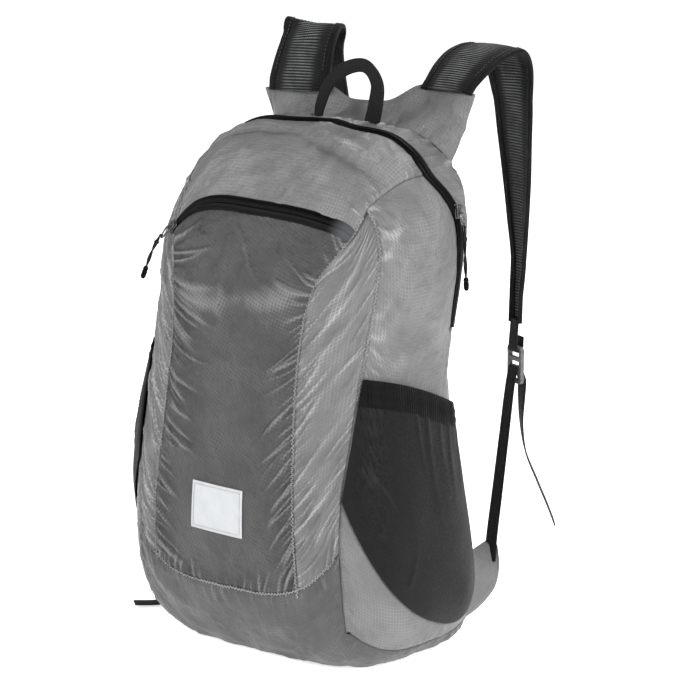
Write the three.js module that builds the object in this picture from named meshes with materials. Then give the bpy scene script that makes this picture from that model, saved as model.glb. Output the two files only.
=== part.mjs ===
// A packable hiking backpack, built as the real one is sewn: cloth panels round an open body,
// two zips with sliders and pull cords, stretch mesh side pockets, a shoulder yoke, mesh
// shoulder straps with bound edges, webbing, ladder locks and a grab handle.
// Millimetres. +X is the wearer's right, +Y is towards the wearer's back, +Z is up.
// The origin is the middle of the base, where the bag stands.
import * as THREE from "three";
import { mergeVertices } from "three/addons/utils/BufferGeometryUtils.js";

// Driving sizes of the body
const BODY_HEIGHT = 472;
const BODY_HALF_WIDTH = 148;
const BODY_HALF_DEPTH = 95;
const BASE_SINK = 8; // how far the round underside is pressed flat where it stands
const CORNER_POWER = 3.4; // squareness of the body seen from above
const CROWN_POWER = 4.6; // squareness of the top seen from the side
const FOOT_POWER = 6.5; // squareness of the foot seen from the side

// Cloth, seams and zips
const CLOTH = 1.5;
const SEAM_GAP = 0.8; // between two panels, where the stitching runs
const REST_GAP = 0.4; // between a piece and what it is sewn onto
const MAIN_ZIP_WIDTH = 11;
const POCKET_ZIP_WIDTH = 13;
const ZIP_THICKNESS = 1.8;
const ZIP_PROUD = 0.4; // how far a zip's tape stands over the cloth beside it
const ZIP_END_GAP = 3; // between the main zip's end and the cloth below it

// Mesh side pockets
const POCKET_MESH = 1.4;
const POCKET_FULLNESS = 12; // how far the middle of the pocket stands off the side
const POCKET_EDGE_LIFT = 1.0;
const POCKET_HEM = 24;
const POCKET_HEM_THICKNESS = 2;
const POCKET_FRONT = 0.01; // where the pocket starts behind the side seam, on the ring chart
const POCKET_BACK = 0.93; // share of the side's depth where the pocket is sewn in behind
const POCKET_ROUND = 0.7; // how soon the pocket stands off at its two sides: 1 is a half wave
const POCKET_FRONT_SWELL = 1.2;
const POCKET_REAR_SWELL = 0.4;

// Label
const LABEL_WIDTH = 62;
const LABEL_HEIGHT = 44;
const LABEL_THICKNESS = 0.8;
const LABEL_LIFT = 0.2;
const LABEL_ACROSS = -0.05; // its middle, on the chart of the front
const LABEL_UP = -0.39;

// Straps, webbing and buckles
const STRAP_WIDTH = 68;
const STRAP_THICKNESS = 3;
const STRAP_REACH = 250; // the length that the straps' tables share out
const STRAP_ALONG = 0.63; // where a strap starts along the yoke
const STRAP_BINDING = 8;
const BINDING_THICKNESS = 4;
const STRAP_CUP = 3; // how far the middle of a strap bows out of its edges
const STRAP_TAB_GAP = 1;
const STRAP_TAB_RETURN = 9; // the sewn-back end of the tab, above the lock
const WEBBING_WIDTH = 15;
const WEBBING_THICKNESS = 1.4;
const LOCK_THICKNESS = 4;
const LOCK_RAIL = 4;
const LOCK_SIDE_PLAY = 0.5; // between the webbing's edge and the lock's rail
const LOCK_WIDTH = WEBBING_WIDTH + 2 * (LOCK_RAIL + LOCK_SIDE_PLAY);
const LOCK_BAR = 4;
const LOCK_BARS = 4;
const LOCK_SLOT = 6.5;
const LOCK_HEIGHT = LOCK_BARS * LOCK_BAR + (LOCK_BARS - 1) * LOCK_SLOT;
const LOCK_CORNER = 5;
const LOCK_PLAY = 0.6; // between the webbing and the bars that it turns round
const LOCK_DROP = 40; // from a strap's foot down to the middle of its lock
const LOCK_SET_BACK = 2;
const LOCK_TURN = 20; // degrees
const TAB_BAR = 0; // the bars that the tab and the lower webbing turn round, from the top
const WEB_BAR = 2;
const WEB_BEHIND = 8; // where the lower webbing comes up to its lock, behind and under its middle
const WEB_BELOW = 18;
const WEB_FOOT_TURN = 12;

// Wings at the foot of the back edge. Low and high are heights on the back edge's chart.
const WING_END = 17;
const WING_LOW = -1.3;
const WING_HIGH = -0.78;
const WING_ROOT_GAP = 1;
const WING_END_GAP = 2;
const WING_BELLY = 18; // how far the wing's lower edge bows backwards
const WING_SPREAD = 0.6; // the same, sideways and downwards, as shares of WING_BELLY
const WING_SAG = 0.3;
const WING_FACE = { across: -0.85, back: 0.5, up: 0.15 }; // the way that its inner side faces

// Grab handle, with its feet on the chart of the top
const HANDLE_WIDTH = 18;
const HANDLE_THICKNESS = 2.4;
const HANDLE_RISE = 46;
const HANDLE_ACROSS = 0.235;
const HANDLE_BACK = 0.29;
const HANDLE_GAP = 2;

// Shoulder yoke
const YOKE_HALF_WIDTH = 121;
const YOKE_HEIGHT = 38;
const YOKE_SEAM_SHARE = 0.83; // how much of the back seam's half width the yoke is sewn to
const YOKE_DROP = 10; // how far under the crown its seam is counted from
const YOKE_FOOT_GAP = 1;
const YOKE_BOW = 3;
const YOKE_FACE = { back: 0.85, up: -0.5 }; // the way that its rear side faces

// Zip sliders, pulls and their cords
const SLIDER_WIDTH = 9;
const SLIDER_LENGTH = 13;
const SLIDER_THICKNESS = 4;
const PULL_LENGTH = 14;
const PULL_WIDTH = 8;
const PULL_THICKNESS = 1.6;
const PULL_WALL = 1.8;
const PULL_CORNER = 3.6;
const PULL_DROP = 7.5; // from the slider's middle to the pull's
const SLIDER_CORNER = 3;
const SLIDER_LIFT = 1.1;
const ROUND_STEPS = 3; // segments in a rounded corner
const FOLD_FADE = 7; // how soon a fold comes up from a panel's seam: 1 is at its far side
const CORD_DIAMETER = 2.4;
const CORD_SIDES = 8;
const CORD_STEPS = 12;
const CORD_END_LENGTH = 12;
const CORD_END_DIAMETER = 5;
const CORD_END_SIDES = 10;
const CORD_END = [
  { along: 0.0, radius: 0.7 },
  { along: 0.25, radius: 1.0 },
  { along: 0.8, radius: 0.9 },
  { along: 1.0, radius: 0.5 },
];

// The body's outline by height. Every column is a share: height of BODY_HEIGHT, width of
// BODY_HALF_WIDTH, front and back of BODY_HALF_DEPTH.
const SECTIONS = [
  { height: 0.0, width: 1.07, front: 1.0, back: 1.16 },
  { height: 0.12, width: 1.07, front: 1.11, back: 1.12 },
  { height: 0.28, width: 1.03, front: 1.16, back: 0.98 },
  { height: 0.45, width: 0.96, front: 1.09, back: 0.87 },
  { height: 0.6, width: 0.91, front: 0.99, back: 0.92 },
  { height: 0.76, width: 0.93, front: 0.86, back: 1.1 },
  { height: 0.88, width: 0.95, front: 0.62, back: 1.18 },
  { height: 1.0, width: 0.92, front: 0.34, back: 1.1 },
];

// The main zip runs over the top and down both sides. Across is 0 in the middle, 1 at the
// body's side edge and 2 at the side's foot. Back is -1 at the front edge, 1 at the back edge.
const MAIN_ZIP = [
  { across: 0.0, back: 0.1 },
  { across: 0.3, back: -0.14 },
  { across: 0.55, back: -0.08 },
  { across: 0.8, back: -0.06 },
  { across: 1.0, back: 0.0 },
  { across: 1.15, back: 0.22 },
  { across: 1.3, back: 0.45 },
  { across: 1.5, back: 0.62 },
  { across: 1.75, back: 0.75 },
];
const MAIN_ZIP_END = 1.72;
const ZIP_END_SLANT = 0.14; // how much lower the gusset ends at the back edge than at the zip

// The pocket zip over the front: up is -1 at the foot of the front, 1 at its top.
const POCKET_ZIP = [
  { across: -0.95, up: 0.7 },
  { across: -0.6, up: 0.765 },
  { across: 0.0, up: 0.768 },
  { across: 0.5, up: 0.773 },
  { across: 0.85, up: 0.807 },
];

// The front's side seam and the side's front seam, which meet at the front's top corner.
const FRONT_SEAM = [
  { up: -0.8, left: 0.62, right: 0.55 },
  { up: 0.2, left: 0.64, right: 0.56 },
  { up: 0.5, left: 0.72, right: 0.62 },
  { up: 0.7, left: 0.88, right: 0.8 },
  { up: 0.85, left: 0.93, right: 0.92 },
  { up: 1.0, left: 1.0, right: 1.0 },
];
const SIDE_SEAM = [
  { up: -1.0, around: 0.96 },
  { up: -0.7, around: 0.955 },
  { up: -0.4, around: 1.0 },
  { up: 0.0, around: 1.2 },
  { up: 0.3, around: 1.32 },
  { up: 0.6, around: 1.32 },
  { up: 0.85, around: 1.16 },
  { up: 1.0, around: 1.0 },
];
const FOOT_SEAM = [
  { across: -1.0, up: -0.605 },
  { across: -0.5, up: -0.695 },
  { across: 0.0, up: -0.7 },
  { across: 0.5, up: -0.675 },
  { across: 1.0, up: -0.565 },
];
const GORE_TOP = 0.955;
const SIDE_TOP = 0.985;

// The columns and rows of each sheet's mesh.
const GRID = {
  upper: [12, 6],
  pocket: [12, 14],
  gore: [3, 18],
  side: [8, 18],
  gusset: [38, 2],
  mainZip: [46, 1],
  pocketZip: [14, 1],
  base: [10, 14],
  back: [10, 12],
  label: [4, 2],
  wing: [4, 4],
  yoke: [20, 3],
  handle: [1, 20],
};
const FRONT_ROWS = 5 / GRID.base[1]; // share of the base panel's rows that lie on the front
const BASE_CORNER = 0.1; // where the base panel reaches its full width behind the front edge

// The seam where the top gusset meets the back panel and the yoke is sewn in.
const BACK_SEAM = [
  { across: 0.0, back: 0.48 },
  { across: 0.6, back: 0.5 },
  { across: 0.85, back: 0.64 },
  { across: 1.0, back: 1.0 },
];

// The mesh pocket's foot and mouth, from the side seam (0) to its rear edge (1).
const POCKET_OUTLINE = [
  { along: 0.0, foot: -0.34, mouth: 0.175 },
  { along: 0.25, foot: -0.64, mouth: 0.13 },
  { along: 0.5, foot: -0.82, mouth: 0.077 },
  { along: 0.75, foot: -0.89, mouth: 0.014 },
  { along: 1.0, foot: -0.78, mouth: -0.038 },
];
// How full it is from its foot (0) to its mouth (1), where the hem draws it in.
const POCKET_SWELL = [
  { share: 0.0, swell: 0.0 },
  { share: 0.2, swell: 0.62 },
  { share: 0.5, swell: 1.0 },
  { share: 0.8, swell: 0.88 },
  { share: 1.0, swell: 0.5 },
];

// Broad folds that the cloth has when the bag is filled. Places are shares of the panel from
// its left and lower edges, length and width are shares of its width, turn is in degrees from
// the horizontal, and height is in millimetres.
const FRONT_FOLDS = [
  { across: 0.2, along: 0.8, length: 0.4, width: 0.07, turn: -30, height: 2.4 },
  { across: 0.82, along: 0.78, length: 0.4, width: 0.07, turn: 35, height: 2.6 },
  { across: 0.8, along: 0.5, length: 0.35, width: 0.06, turn: 25, height: 2 },
  { across: 0.2, along: 0.46, length: 0.35, width: 0.06, turn: -25, height: 2 },
  { across: 0.85, along: 0.22, length: 0.4, width: 0.07, turn: 38, height: 2.2 },
  { across: 0.14, along: 0.16, length: 0.35, width: 0.06, turn: -30, height: 2 },
];
const UPPER_FOLDS = [
  { across: 0.5, along: 0.45, length: 0.8, width: 0.08, turn: 0, height: -3 },
  { across: 0.15, along: 0.5, length: 0.3, width: 0.07, turn: 30, height: 2 },
  { across: 0.88, along: 0.5, length: 0.3, width: 0.07, turn: -35, height: 2.4 },
];
const GORE_FOLDS = [
  { across: 0.5, along: 0.2, length: 1.3, width: 0.22, turn: 40, height: 2.4 },
  { across: 0.5, along: 0.4, length: 1.3, width: 0.22, turn: 42, height: 2.6 },
  { across: 0.5, along: 0.6, length: 1.4, width: 0.22, turn: 48, height: 3 },
  { across: 0.5, along: 0.78, length: 1.4, width: 0.24, turn: 55, height: 3 },
];
const SIDE_FOLDS = [
  { across: 0.2, along: 0.86, length: 0.5, width: 0.06, turn: 50, height: 3 },
  { across: 0.4, along: 0.84, length: 0.5, width: 0.06, turn: 55, height: 2.6 },
  { across: 0.2, along: 0.68, length: 0.4, width: 0.06, turn: 30, height: 2.4 },
  { across: 0.25, along: 0.58, length: 0.45, width: 0.06, turn: -15, height: 2.4 },
  { across: 0.55, along: 0.62, length: 0.5, width: 0.07, turn: -20, height: 2 },
];
const GUSSET_FOLDS = [
  { across: 0.3, along: 0.5, length: 0.1, width: 0.02, turn: 60, height: 2 },
  { across: 0.7, along: 0.5, length: 0.1, width: 0.02, turn: -60, height: 2 },
];
const BACK_FOLDS = [
  { across: 0.5, along: 0.75, length: 0.7, width: 0.06, turn: 4, height: 2.2 },
  { across: 0.45, along: 0.5, length: 0.6, width: 0.06, turn: -6, height: 2 },
  { across: 0.55, along: 0.28, length: 0.7, width: 0.07, turn: 8, height: 2.2 },
];

// The shoulder yoke's top edge, from the wearer's left (-1) to the right (1): how far it is
// spread outwards, leans back and rises over its seam, as shares of YOKE_HEIGHT.
const YOKE = [
  { along: -1.0, spread: 0.1, lean: 0.1, rise: 0.84 },
  { along: -0.62, spread: 0.0, lean: 0.25, rise: 0.95 },
  { along: -0.32, spread: 0.0, lean: 0.35, rise: 0.9 },
  { along: -0.16, spread: 0.0, lean: 0.45, rise: 0.66 },
  { along: 0.0, spread: 0.0, lean: 0.5, rise: 0.64 },
  { along: 0.18, spread: 0.0, lean: 0.7, rise: 0.68 },
  { along: 0.36, spread: 0.0, lean: 1.05, rise: 1.04 },
  { along: 0.65, spread: -0.05, lean: 1.15, rise: 1.12 },
  { along: 1.0, spread: -0.3, lean: 0.9, rise: 1.0 },
];

// The straps' middle lines, counted from the yoke's edge: right, back and up are shares of
// STRAP_REACH. Width is a share of STRAP_WIDTH and turn, in degrees, is how far the strap's
// face is turned round its own line.
const STRAP_RIGHT = [
  { right: 0.016, back: 0.0, up: 0.01, width: 0.86, turn: 0 },
  { right: 0.016, back: 0.065, up: 0.058, width: 0.95, turn: 0 },
  { right: 0.02, back: 0.145, up: 0.098, width: 1.0, turn: 0 },
  { right: 0.033, back: 0.24, up: 0.11, width: 1.0, turn: -2 },
  { right: 0.04, back: 0.297, up: 0.054, width: 0.94, turn: -8 },
  { right: 0.053, back: 0.313, up: -0.082, width: 0.9, turn: -18 },
  { right: 0.06, back: 0.317, up: -0.218, width: 0.87, turn: -22 },
  { right: 0.07, back: 0.32, up: -0.378, width: 0.8, turn: -26 },
  { right: 0.08, back: 0.317, up: -0.538, width: 0.68, turn: -30 },
  { right: 0.09, back: 0.31, up: -0.678, width: 0.52, turn: -34 },
  { right: 0.094, back: 0.293, up: -0.818, width: 0.36, turn: -30 },
  { right: 0.097, back: 0.285, up: -0.914, width: 0.3, turn: -24 },
];
const STRAP_LEFT = [
  { right: 0.005, back: 0.003, up: 0.008, width: 1.06, turn: 0 },
  { right: 0.0, back: 0.03, up: 0.08, width: 1.0, turn: 0 },
  { right: -0.007, back: 0.07, up: 0.152, width: 0.93, turn: 0 },
  { right: -0.027, back: 0.123, up: 0.184, width: 0.88, turn: 0 },
  { right: -0.063, back: 0.17, up: 0.136, width: 0.88, turn: 4 },
  { right: -0.087, back: 0.203, up: 0.024, width: 0.9, turn: 8 },
  { right: -0.103, back: 0.24, up: -0.112, width: 0.92, turn: 12 },
  { right: -0.115, back: 0.28, up: -0.272, width: 0.86, turn: 16 },
  { right: -0.123, back: 0.315, up: -0.432, width: 0.74, turn: 20 },
  { right: -0.127, back: 0.34, up: -0.592, width: 0.56, turn: 24 },
  { right: -0.127, back: 0.35, up: -0.72, width: 0.38, turn: 22 },
  { right: -0.127, back: 0.355, up: -0.824, width: 0.3, turn: 20 },
];

// Where the lower webbing leaves its wing, as shares of the body's half width, half depth and
// height, and how it runs from there to its lock.
const WEB_FOOT = { across: 0.818, back: 1.305, up: 0.174 };
const WEB_RISE = [0, 0.33, 0.67, 1];

// The webbing's free ends. Right and back are counted from the lock, up from the ground, all as
// shares of the lock's height over the ground. The left one ends lying on the ground.
const TAIL_RIGHT = [
  { right: 0.012, back: 0.025, up: 0.936, turn: -20 },
  { right: 0.012, back: 0.025, up: 0.869, turn: -26 },
  { right: 0.012, back: 0.025, up: 0.763, turn: -40 },
  { right: 0.008, back: 0.059, up: 0.636, turn: -48 },
  { right: 0.008, back: 0.136, up: 0.5, turn: -50 },
  { right: 0.008, back: 0.212, up: 0.373, turn: -50 },
  { right: 0.008, back: 0.254, up: 0.297, turn: -50 },
];
const TAIL_LEFT = [
  { right: -0.008, back: 0.014, up: 0.929, turn: 20 },
  { right: -0.008, back: 0.024, up: 0.833, turn: 20 },
  { right: -0.024, back: 0.024, up: 0.595, turn: 16 },
  { right: -0.063, back: 0.016, up: 0.317, turn: 12 },
  { right: -0.111, back: -0.016, up: 0.103, turn: 8 },
  { right: -0.151, back: -0.095, up: 0.02, turn: 4 },
  { right: -0.175, back: -0.254, up: 0.008, turn: 2 },
  { right: -0.183, back: -0.468, up: 0.008, turn: 0 },
  { right: -0.175, back: -0.667, up: 0.008, turn: -4 },
  { right: -0.198, back: -0.802, up: 0.009, turn: -20 },
  { right: -0.254, back: -0.873, up: 0.012, turn: -36 },
];

// The grab handle's middle line: across is a share of its feet's spacing, lean and up are
// shares of HANDLE_RISE.
const HANDLE = [
  { across: -0.5, lean: 0.0, up: 0.0 },
  { across: -0.47, lean: 0.02, up: 0.21 },
  { across: -0.33, lean: 0.065, up: 0.62 },
  { across: -0.03, lean: 0.087, up: 0.92 },
  { across: 0.34, lean: 0.087, up: 1.0 },
  { across: 0.56, lean: 0.065, up: 0.72 },
  { across: 0.56, lean: 0.02, up: 0.3 },
  { across: 0.51, lean: 0.0, up: 0.0 },
];

// Each zip's slider, as a place along its zip, and the route of the cord on its pull.
const MAIN_SLIDER_AT = 1.24;
const POCKET_SLIDER_AT = -0.88;
const MAIN_CORD = [
  [142.9, 54, 392],
  [142.9, 54, 383],
  [142.9, 54.4, 373],
  [142.9, 55, 363],
  [142.9, 55.6, 353],
  [143.1, 56, 345],
];
const POCKET_CORD = [
  [-109.1, -72.8, 371.2],
  [-111, -76.5, 364.4],
  [-112.8, -80, 357.4],
  [-114.2, -83, 350.2],
  [-115.4, -85.6, 342.8],
];

const mix = THREE.MathUtils.lerp;

// A table's column at a place, on one smooth curve through its rows.
function tableValue(rows, key, column, at) {
  const last = rows.length - 1;
  const place = THREE.MathUtils.clamp(at, rows[0][key], rows[last][key]);
  let i = 0;
  while (i < last - 1 && place > rows[i + 1][key]) i += 1;
  const slope = (k) => {
    const low = rows[Math.max(k - 1, 0)];
    const high = rows[Math.min(k + 1, last)];
    return (high[column] - low[column]) / (high[key] - low[key]);
  };
  const span = rows[i + 1][key] - rows[i][key];
  const u = (place - rows[i][key]) / span;
  const start = (2 * u ** 3 - 3 * u ** 2 + 1) * rows[i][column];
  const end = (3 * u ** 2 - 2 * u ** 3) * rows[i + 1][column];
  const leave = (u ** 3 - 2 * u ** 2 + u) * slope(i) * span;
  const arrive = (u ** 3 - u ** 2) * slope(i + 1) * span;
  return start + end + leave + arrive;
}

// The body's surface: points of a cube, pressed onto a rounded box and the body's sections.
function skin(x, y, z) {
  const corner = Math.abs(x) ** CORNER_POWER + Math.abs(y) ** CORNER_POWER;
  const around = corner ** (1 / CORNER_POWER);
  const power = z > 0 ? CROWN_POWER : mix(CROWN_POWER, FOOT_POWER, Math.min(1, -2 * z));
  const size = (around ** power + Math.abs(z) ** power) ** (1 / power);
  const share = (z / size + 1) / 2;
  const front = tableValue(SECTIONS, "height", "front", share) * BODY_HALF_DEPTH;
  const back = tableValue(SECTIONS, "height", "back", share) * BODY_HALF_DEPTH;
  return new THREE.Vector3(
    (x / size) * tableValue(SECTIONS, "height", "width", share) * BODY_HALF_WIDTH,
    (back - front) / 2 + ((y / size) * (back + front)) / 2,
    Math.max(0, share * (BODY_HEIGHT + BASE_SINK) - BASE_SINK),
  );
}

// Three ways to unroll the cube's faces, so that a panel can run round an edge.
// Meridian: up the front, over the top, down the back, or under the base. It is 0 in the middle
// of the front, TOP in the middle of the top, and ends at BACK_FOOT or at BASE_REAR.
const TOP = 2;
const BACK = 4;
const BACK_FOOT = 5;
const BASE_REAR = -3;

function meridian(across, along) {
  if (along > TOP + 1) return skin(across, 1, BACK - along);
  if (along > 1) return skin(across, along - TOP, 1);
  if (along < -1) return skin(across, -along - 2, -1);
  return skin(across, -1, along);
}

// Arch: over the top and down both sides.
function arch(across, back) {
  if (Math.abs(across) <= 1) return skin(across, back, 1);
  return skin(Math.sign(across), back, 2 - Math.abs(across));
}

// Ring: round the body from the middle of the front.
function ring(around, up) {
  const side = Math.sign(around);
  const far = Math.abs(around);
  if (far <= 1) return skin(around, -1, up);
  if (far <= 3) return skin(side, far - 2, up);
  return skin(side * (4 - far), 1, up);
}

const NUDGE = 1e-3;

// The outward normal of a chart at a place.
function outward(chart, u, v) {
  const alongU = chart(u + NUDGE, v).sub(chart(u - NUDGE, v));
  const alongV = chart(u, v + NUDGE).sub(chart(u, v - NUDGE));
  const normal = alongU.cross(alongV).normalize();
  const middle = new THREE.Vector3(0, 0, BODY_HEIGHT / 2);
  const away = chart(u, v).sub(middle);
  return normal.dot(away) < 0 ? normal.negate() : normal;
}

// A place moved over the cloth by some millimetres, along the chart's first or second number.
function shiftU(chart, u, v, mm) {
  const step = Math.sign(mm) * NUDGE;
  return u + (step * Math.abs(mm)) / chart(u, v).distanceTo(chart(u + step, v));
}

function shiftV(chart, u, v, mm) {
  const step = Math.sign(mm) * NUDGE;
  return v + (step * Math.abs(mm)) / chart(u, v).distanceTo(chart(u, v + step));
}

// How far the folds lift a place of a panel, fading out at the panel's seams.
function foldLift(folds, s, t, aspect) {
  const rise = (share) => Math.min(1, FOLD_FADE * Math.min(share, 1 - share));
  const fade = rise(s) * rise(t);
  let lift = 0;
  for (const fold of folds) {
    const turn = THREE.MathUtils.degToRad(fold.turn);
    const dx = s - fold.across;
    const dy = (t - fold.along) * aspect;
    const line = (dx * Math.cos(turn) + dy * Math.sin(turn)) / (fold.length / 2);
    const side = (dy * Math.cos(turn) - dx * Math.sin(turn)) / fold.width;
    lift += fold.height * Math.exp(-line * line - side * side);
  }
  return lift * fade;
}

// A closed sheet: a thin box bent onto place(s, t, depth), with depth 0 inside and 1 outside.
function bentSheet(columns, rows, place) {
  const box = new THREE.BoxGeometry(1, 1, 1, columns, rows, 1);
  const spots = box.getAttribute("position");
  for (let i = 0; i < spots.count; i += 1) {
    const p = place(spots.getX(i) + 0.5, spots.getY(i) + 0.5, spots.getZ(i) + 0.5);
    spots.setXYZ(i, p.x, p.y, p.z);
  }
  box.deleteAttribute("normal");
  box.deleteAttribute("uv");
  return facingOut(mergeVertices(box));
}

// The same geometry, with its triangles turned round where they face inwards.
function facingOut(geometry) {
  const spots = geometry.getAttribute("position");
  const index = geometry.getIndex();
  const corner = [0, 1, 2].map(() => new THREE.Vector3());
  let volume = 0;
  for (let i = 0; i < index.count; i += 3) {
    corner.forEach((c, k) => c.fromBufferAttribute(spots, index.getX(i + k)));
    volume += corner[0].dot(corner[1].clone().cross(corner[2])) / 6;
  }
  if (volume < 0) {
    for (let i = 0; i < index.count; i += 3) {
      const second = index.getX(i + 1);
      index.setX(i + 1, index.getX(i + 2));
      index.setX(i + 2, second);
    }
  }
  return geometry;
}

// A panel's height over its width, measured along its middle lines.
const MEASURE_STEPS = 8;

function aspectOf(chart, spot) {
  const at = (s, t) => chart(...spot(s, t));
  let wide = 0;
  let high = 0;
  for (let i = 0; i < MEASURE_STEPS; i += 1) {
    const low = i / MEASURE_STEPS;
    const next = (i + 1) / MEASURE_STEPS;
    wide += at(low, 0.5).distanceTo(at(next, 0.5));
    high += at(0.5, low).distanceTo(at(0.5, next));
  }
  return high / wide;
}

// A panel of the body's cloth: spot(s, t) gives its place on the chart.
function panel([columns, rows], chart, spot, folds = []) {
  const aspect = aspectOf(chart, spot);
  return bentSheet(columns, rows, (s, t, depth) => {
    const [u, v] = spot(s, t);
    const lift = foldLift(folds, s, t, aspect);
    return chart(u, v).addScaledVector(outward(chart, u, v), lift + (depth - 1) * CLOTH);
  });
}

// A zip's tape, which stands a little proud of the cloth.
function zipTape([columns, rows], chart, spot) {
  return bentSheet(columns, rows, (s, t, depth) => {
    const [u, v] = spot(s, t);
    const lift = ZIP_PROUD + (depth - 1) * ZIP_THICKNESS;
    return chart(u, v).addScaledVector(outward(chart, u, v), lift);
  });
}

// A place between four seams that lean on each other, found in a few rounds: edges gives the
// first number's two limits at the second, and ends the second's two limits at the first.
const SETTLE_ROUNDS = 6;

function settle(s, t, edges, ends) {
  let u = 2 * s - 1;
  let v = 0;
  for (let i = 0; i < SETTLE_ROUNDS; i += 1) {
    v = mix(...ends(u), t);
    u = mix(...edges(v), s);
  }
  return [u, v];
}

// Seams, as functions of their charts
const frontSeam = (up, side) => tableValue(FRONT_SEAM, "up", side < 0 ? "left" : "right", up);
const sideSeam = (up) => tableValue(SIDE_SEAM, "up", "around", up);
const footSeam = (across) => tableValue(FOOT_SEAM, "across", "up", across);
const backSeam = (across) => tableValue(BACK_SEAM, "across", "back", Math.abs(across));

// A zip's middle line (side 0), lower edge (-1) or upper edge (1).
function mainZip(across, side) {
  const back = tableValue(MAIN_ZIP, "across", "back", Math.abs(across));
  return side === 0 ? back : shiftV(arch, across, back, (side * MAIN_ZIP_WIDTH) / 2);
}

function pocketZip(across, side) {
  const up = tableValue(POCKET_ZIP, "across", "up", across);
  return side === 0 ? up : shiftV(meridian, across, up, (side * POCKET_ZIP_WIDTH) / 2);
}

// Where the gusset and the zip end on the side: lower towards the back edge.
function zipEnd(back) {
  const start = mainZip(MAIN_ZIP_END, -1);
  return MAIN_ZIP_END + (ZIP_END_SLANT * Math.max(0, back - start)) / (1 - start);
}

// The front's left and right seams at a height, each drawn in by some millimetres.
function frontEdges(along, gap) {
  return [-1, 1].map((side) => {
    const edge = side * frontSeam(along, side);
    return shiftU(meridian, edge, along, -side * gap);
  });
}

function frontPanel() {
  const ends = (across) => [
    shiftV(meridian, across, pocketZip(across, 1), SEAM_GAP / 2),
    shiftV(meridian, across, TOP + mainZip(across, -1), -SEAM_GAP),
  ];
  const edges = (along) => frontEdges(along, SEAM_GAP);
  return panel(GRID.upper, meridian, (s, t) => settle(s, t, edges, ends), UPPER_FOLDS);
}

function frontPocketPanel() {
  const ends = (across) => [
    shiftV(meridian, across, footSeam(across), SEAM_GAP / 2),
    shiftV(meridian, across, pocketZip(across, -1), -SEAM_GAP / 2),
  ];
  const edges = (along) => frontEdges(along, SEAM_GAP / 2);
  return panel(GRID.pocket, meridian, (s, t) => settle(s, t, edges, ends), FRONT_FOLDS);
}

function frontGore(side) {
  const ends = (around) => [shiftV(ring, around, footSeam(around), SEAM_GAP / 2), GORE_TOP];
  const edges = (up) => [
    shiftU(ring, side * frontSeam(up, side), up, (side * SEAM_GAP) / 2),
    shiftU(ring, side * sideSeam(up), up, (-side * SEAM_GAP) / 2),
  ];
  return panel(GRID.gore, ring, (s, t) => settle(s, t, edges, ends), GORE_FOLDS);
}

// The side panel's rows: one lies where the zip ends and one where the gusset's slant ends.
const SIDE_STEPS = GRID.side[1];
const SIDE_ROWS = [
  { share: 0, up: -1 },
  { share: 10 / SIDE_STEPS, up: 2 - MAIN_ZIP_END - ZIP_END_SLANT },
  { share: 12 / SIDE_STEPS, up: 2 - MAIN_ZIP_END },
  { share: 1, up: SIDE_TOP },
];

// The side's rear edge: along the zip, along the gusset's slanted end, then the back edge.
function sideRear(across) {
  if (across < MAIN_ZIP_END) return mainZip(across, -1);
  const share = (across - MAIN_ZIP_END) / ZIP_END_SLANT;
  return share < 1 ? mix(mainZip(MAIN_ZIP_END, -1), 1, share) : 1;
}

function sidePanel(side) {
  const place = (s, t) => {
    const up = tableValue(SIDE_ROWS, "share", "up", t);
    const start = shiftU(ring, side * sideSeam(up), up, side * SEAM_GAP);
    const end = shiftU(ring, side * (2 + sideRear(2 - up)), up, -side * SEAM_GAP);
    return [mix(start, end, s), up];
  };
  return panel(GRID.side, ring, place, SIDE_FOLDS);
}

function topGusset() {
  const ends = (across) => [
    shiftV(arch, across, mainZip(across, 1), SEAM_GAP),
    shiftV(arch, across, backSeam(across), -SEAM_GAP / 2),
  ];
  const edges = (back) =>
    [-1, 1].map((side) => shiftU(arch, side * zipEnd(back), back, -side * SEAM_GAP));
  return panel(GRID.gusset, arch, (s, t) => settle(s, t, edges, ends), GUSSET_FOLDS);
}

function mainZipTape() {
  const end = shiftU(arch, MAIN_ZIP_END, mainZip(MAIN_ZIP_END, 0), -ZIP_END_GAP);
  return zipTape(GRID.mainZip, arch, (s, t) => {
    const across = (2 * s - 1) * end;
    const low = shiftV(arch, across, mainZip(across, -1), SEAM_GAP / 2);
    const high = shiftV(arch, across, mainZip(across, 1), -SEAM_GAP / 2);
    return [across, mix(low, high, t)];
  });
}

function pocketZipTape() {
  const ends = (across) => [
    shiftV(meridian, across, pocketZip(across, -1), SEAM_GAP / 2),
    shiftV(meridian, across, pocketZip(across, 1), -SEAM_GAP / 2),
  ];
  const edges = (along) => frontEdges(along, SEAM_GAP / 2);
  return zipTape(GRID.pocketZip, meridian, (s, t) => settle(s, t, edges, ends));
}

// Half the base panel's width: out to the side seams on the front, the full width underneath.
function baseEdge(along) {
  const under = THREE.MathUtils.clamp(-1 - along, 0, BASE_CORNER) / BASE_CORNER;
  return mix(Math.min(1, sideSeam(Math.max(-1, along))), 1, under);
}

function basePanel() {
  const place = (s, t) => {
    const under = (t - FRONT_ROWS) / (1 - FRONT_ROWS);
    let across = 2 * s - 1;
    let along = -1;
    for (let i = 0; i < SETTLE_ROUNDS; i += 1) {
      const front = shiftV(meridian, across, footSeam(across), -SEAM_GAP);
      const rear = shiftV(meridian, across, BASE_REAR, SEAM_GAP / 2);
      along = under < 0 ? mix(front, -1, t / FRONT_ROWS) : mix(-1, rear, under);
      across = (2 * s - 1) * shiftU(meridian, baseEdge(along), along, -SEAM_GAP);
    }
    return [across, along];
  };
  return panel(GRID.base, meridian, place);
}

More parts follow.
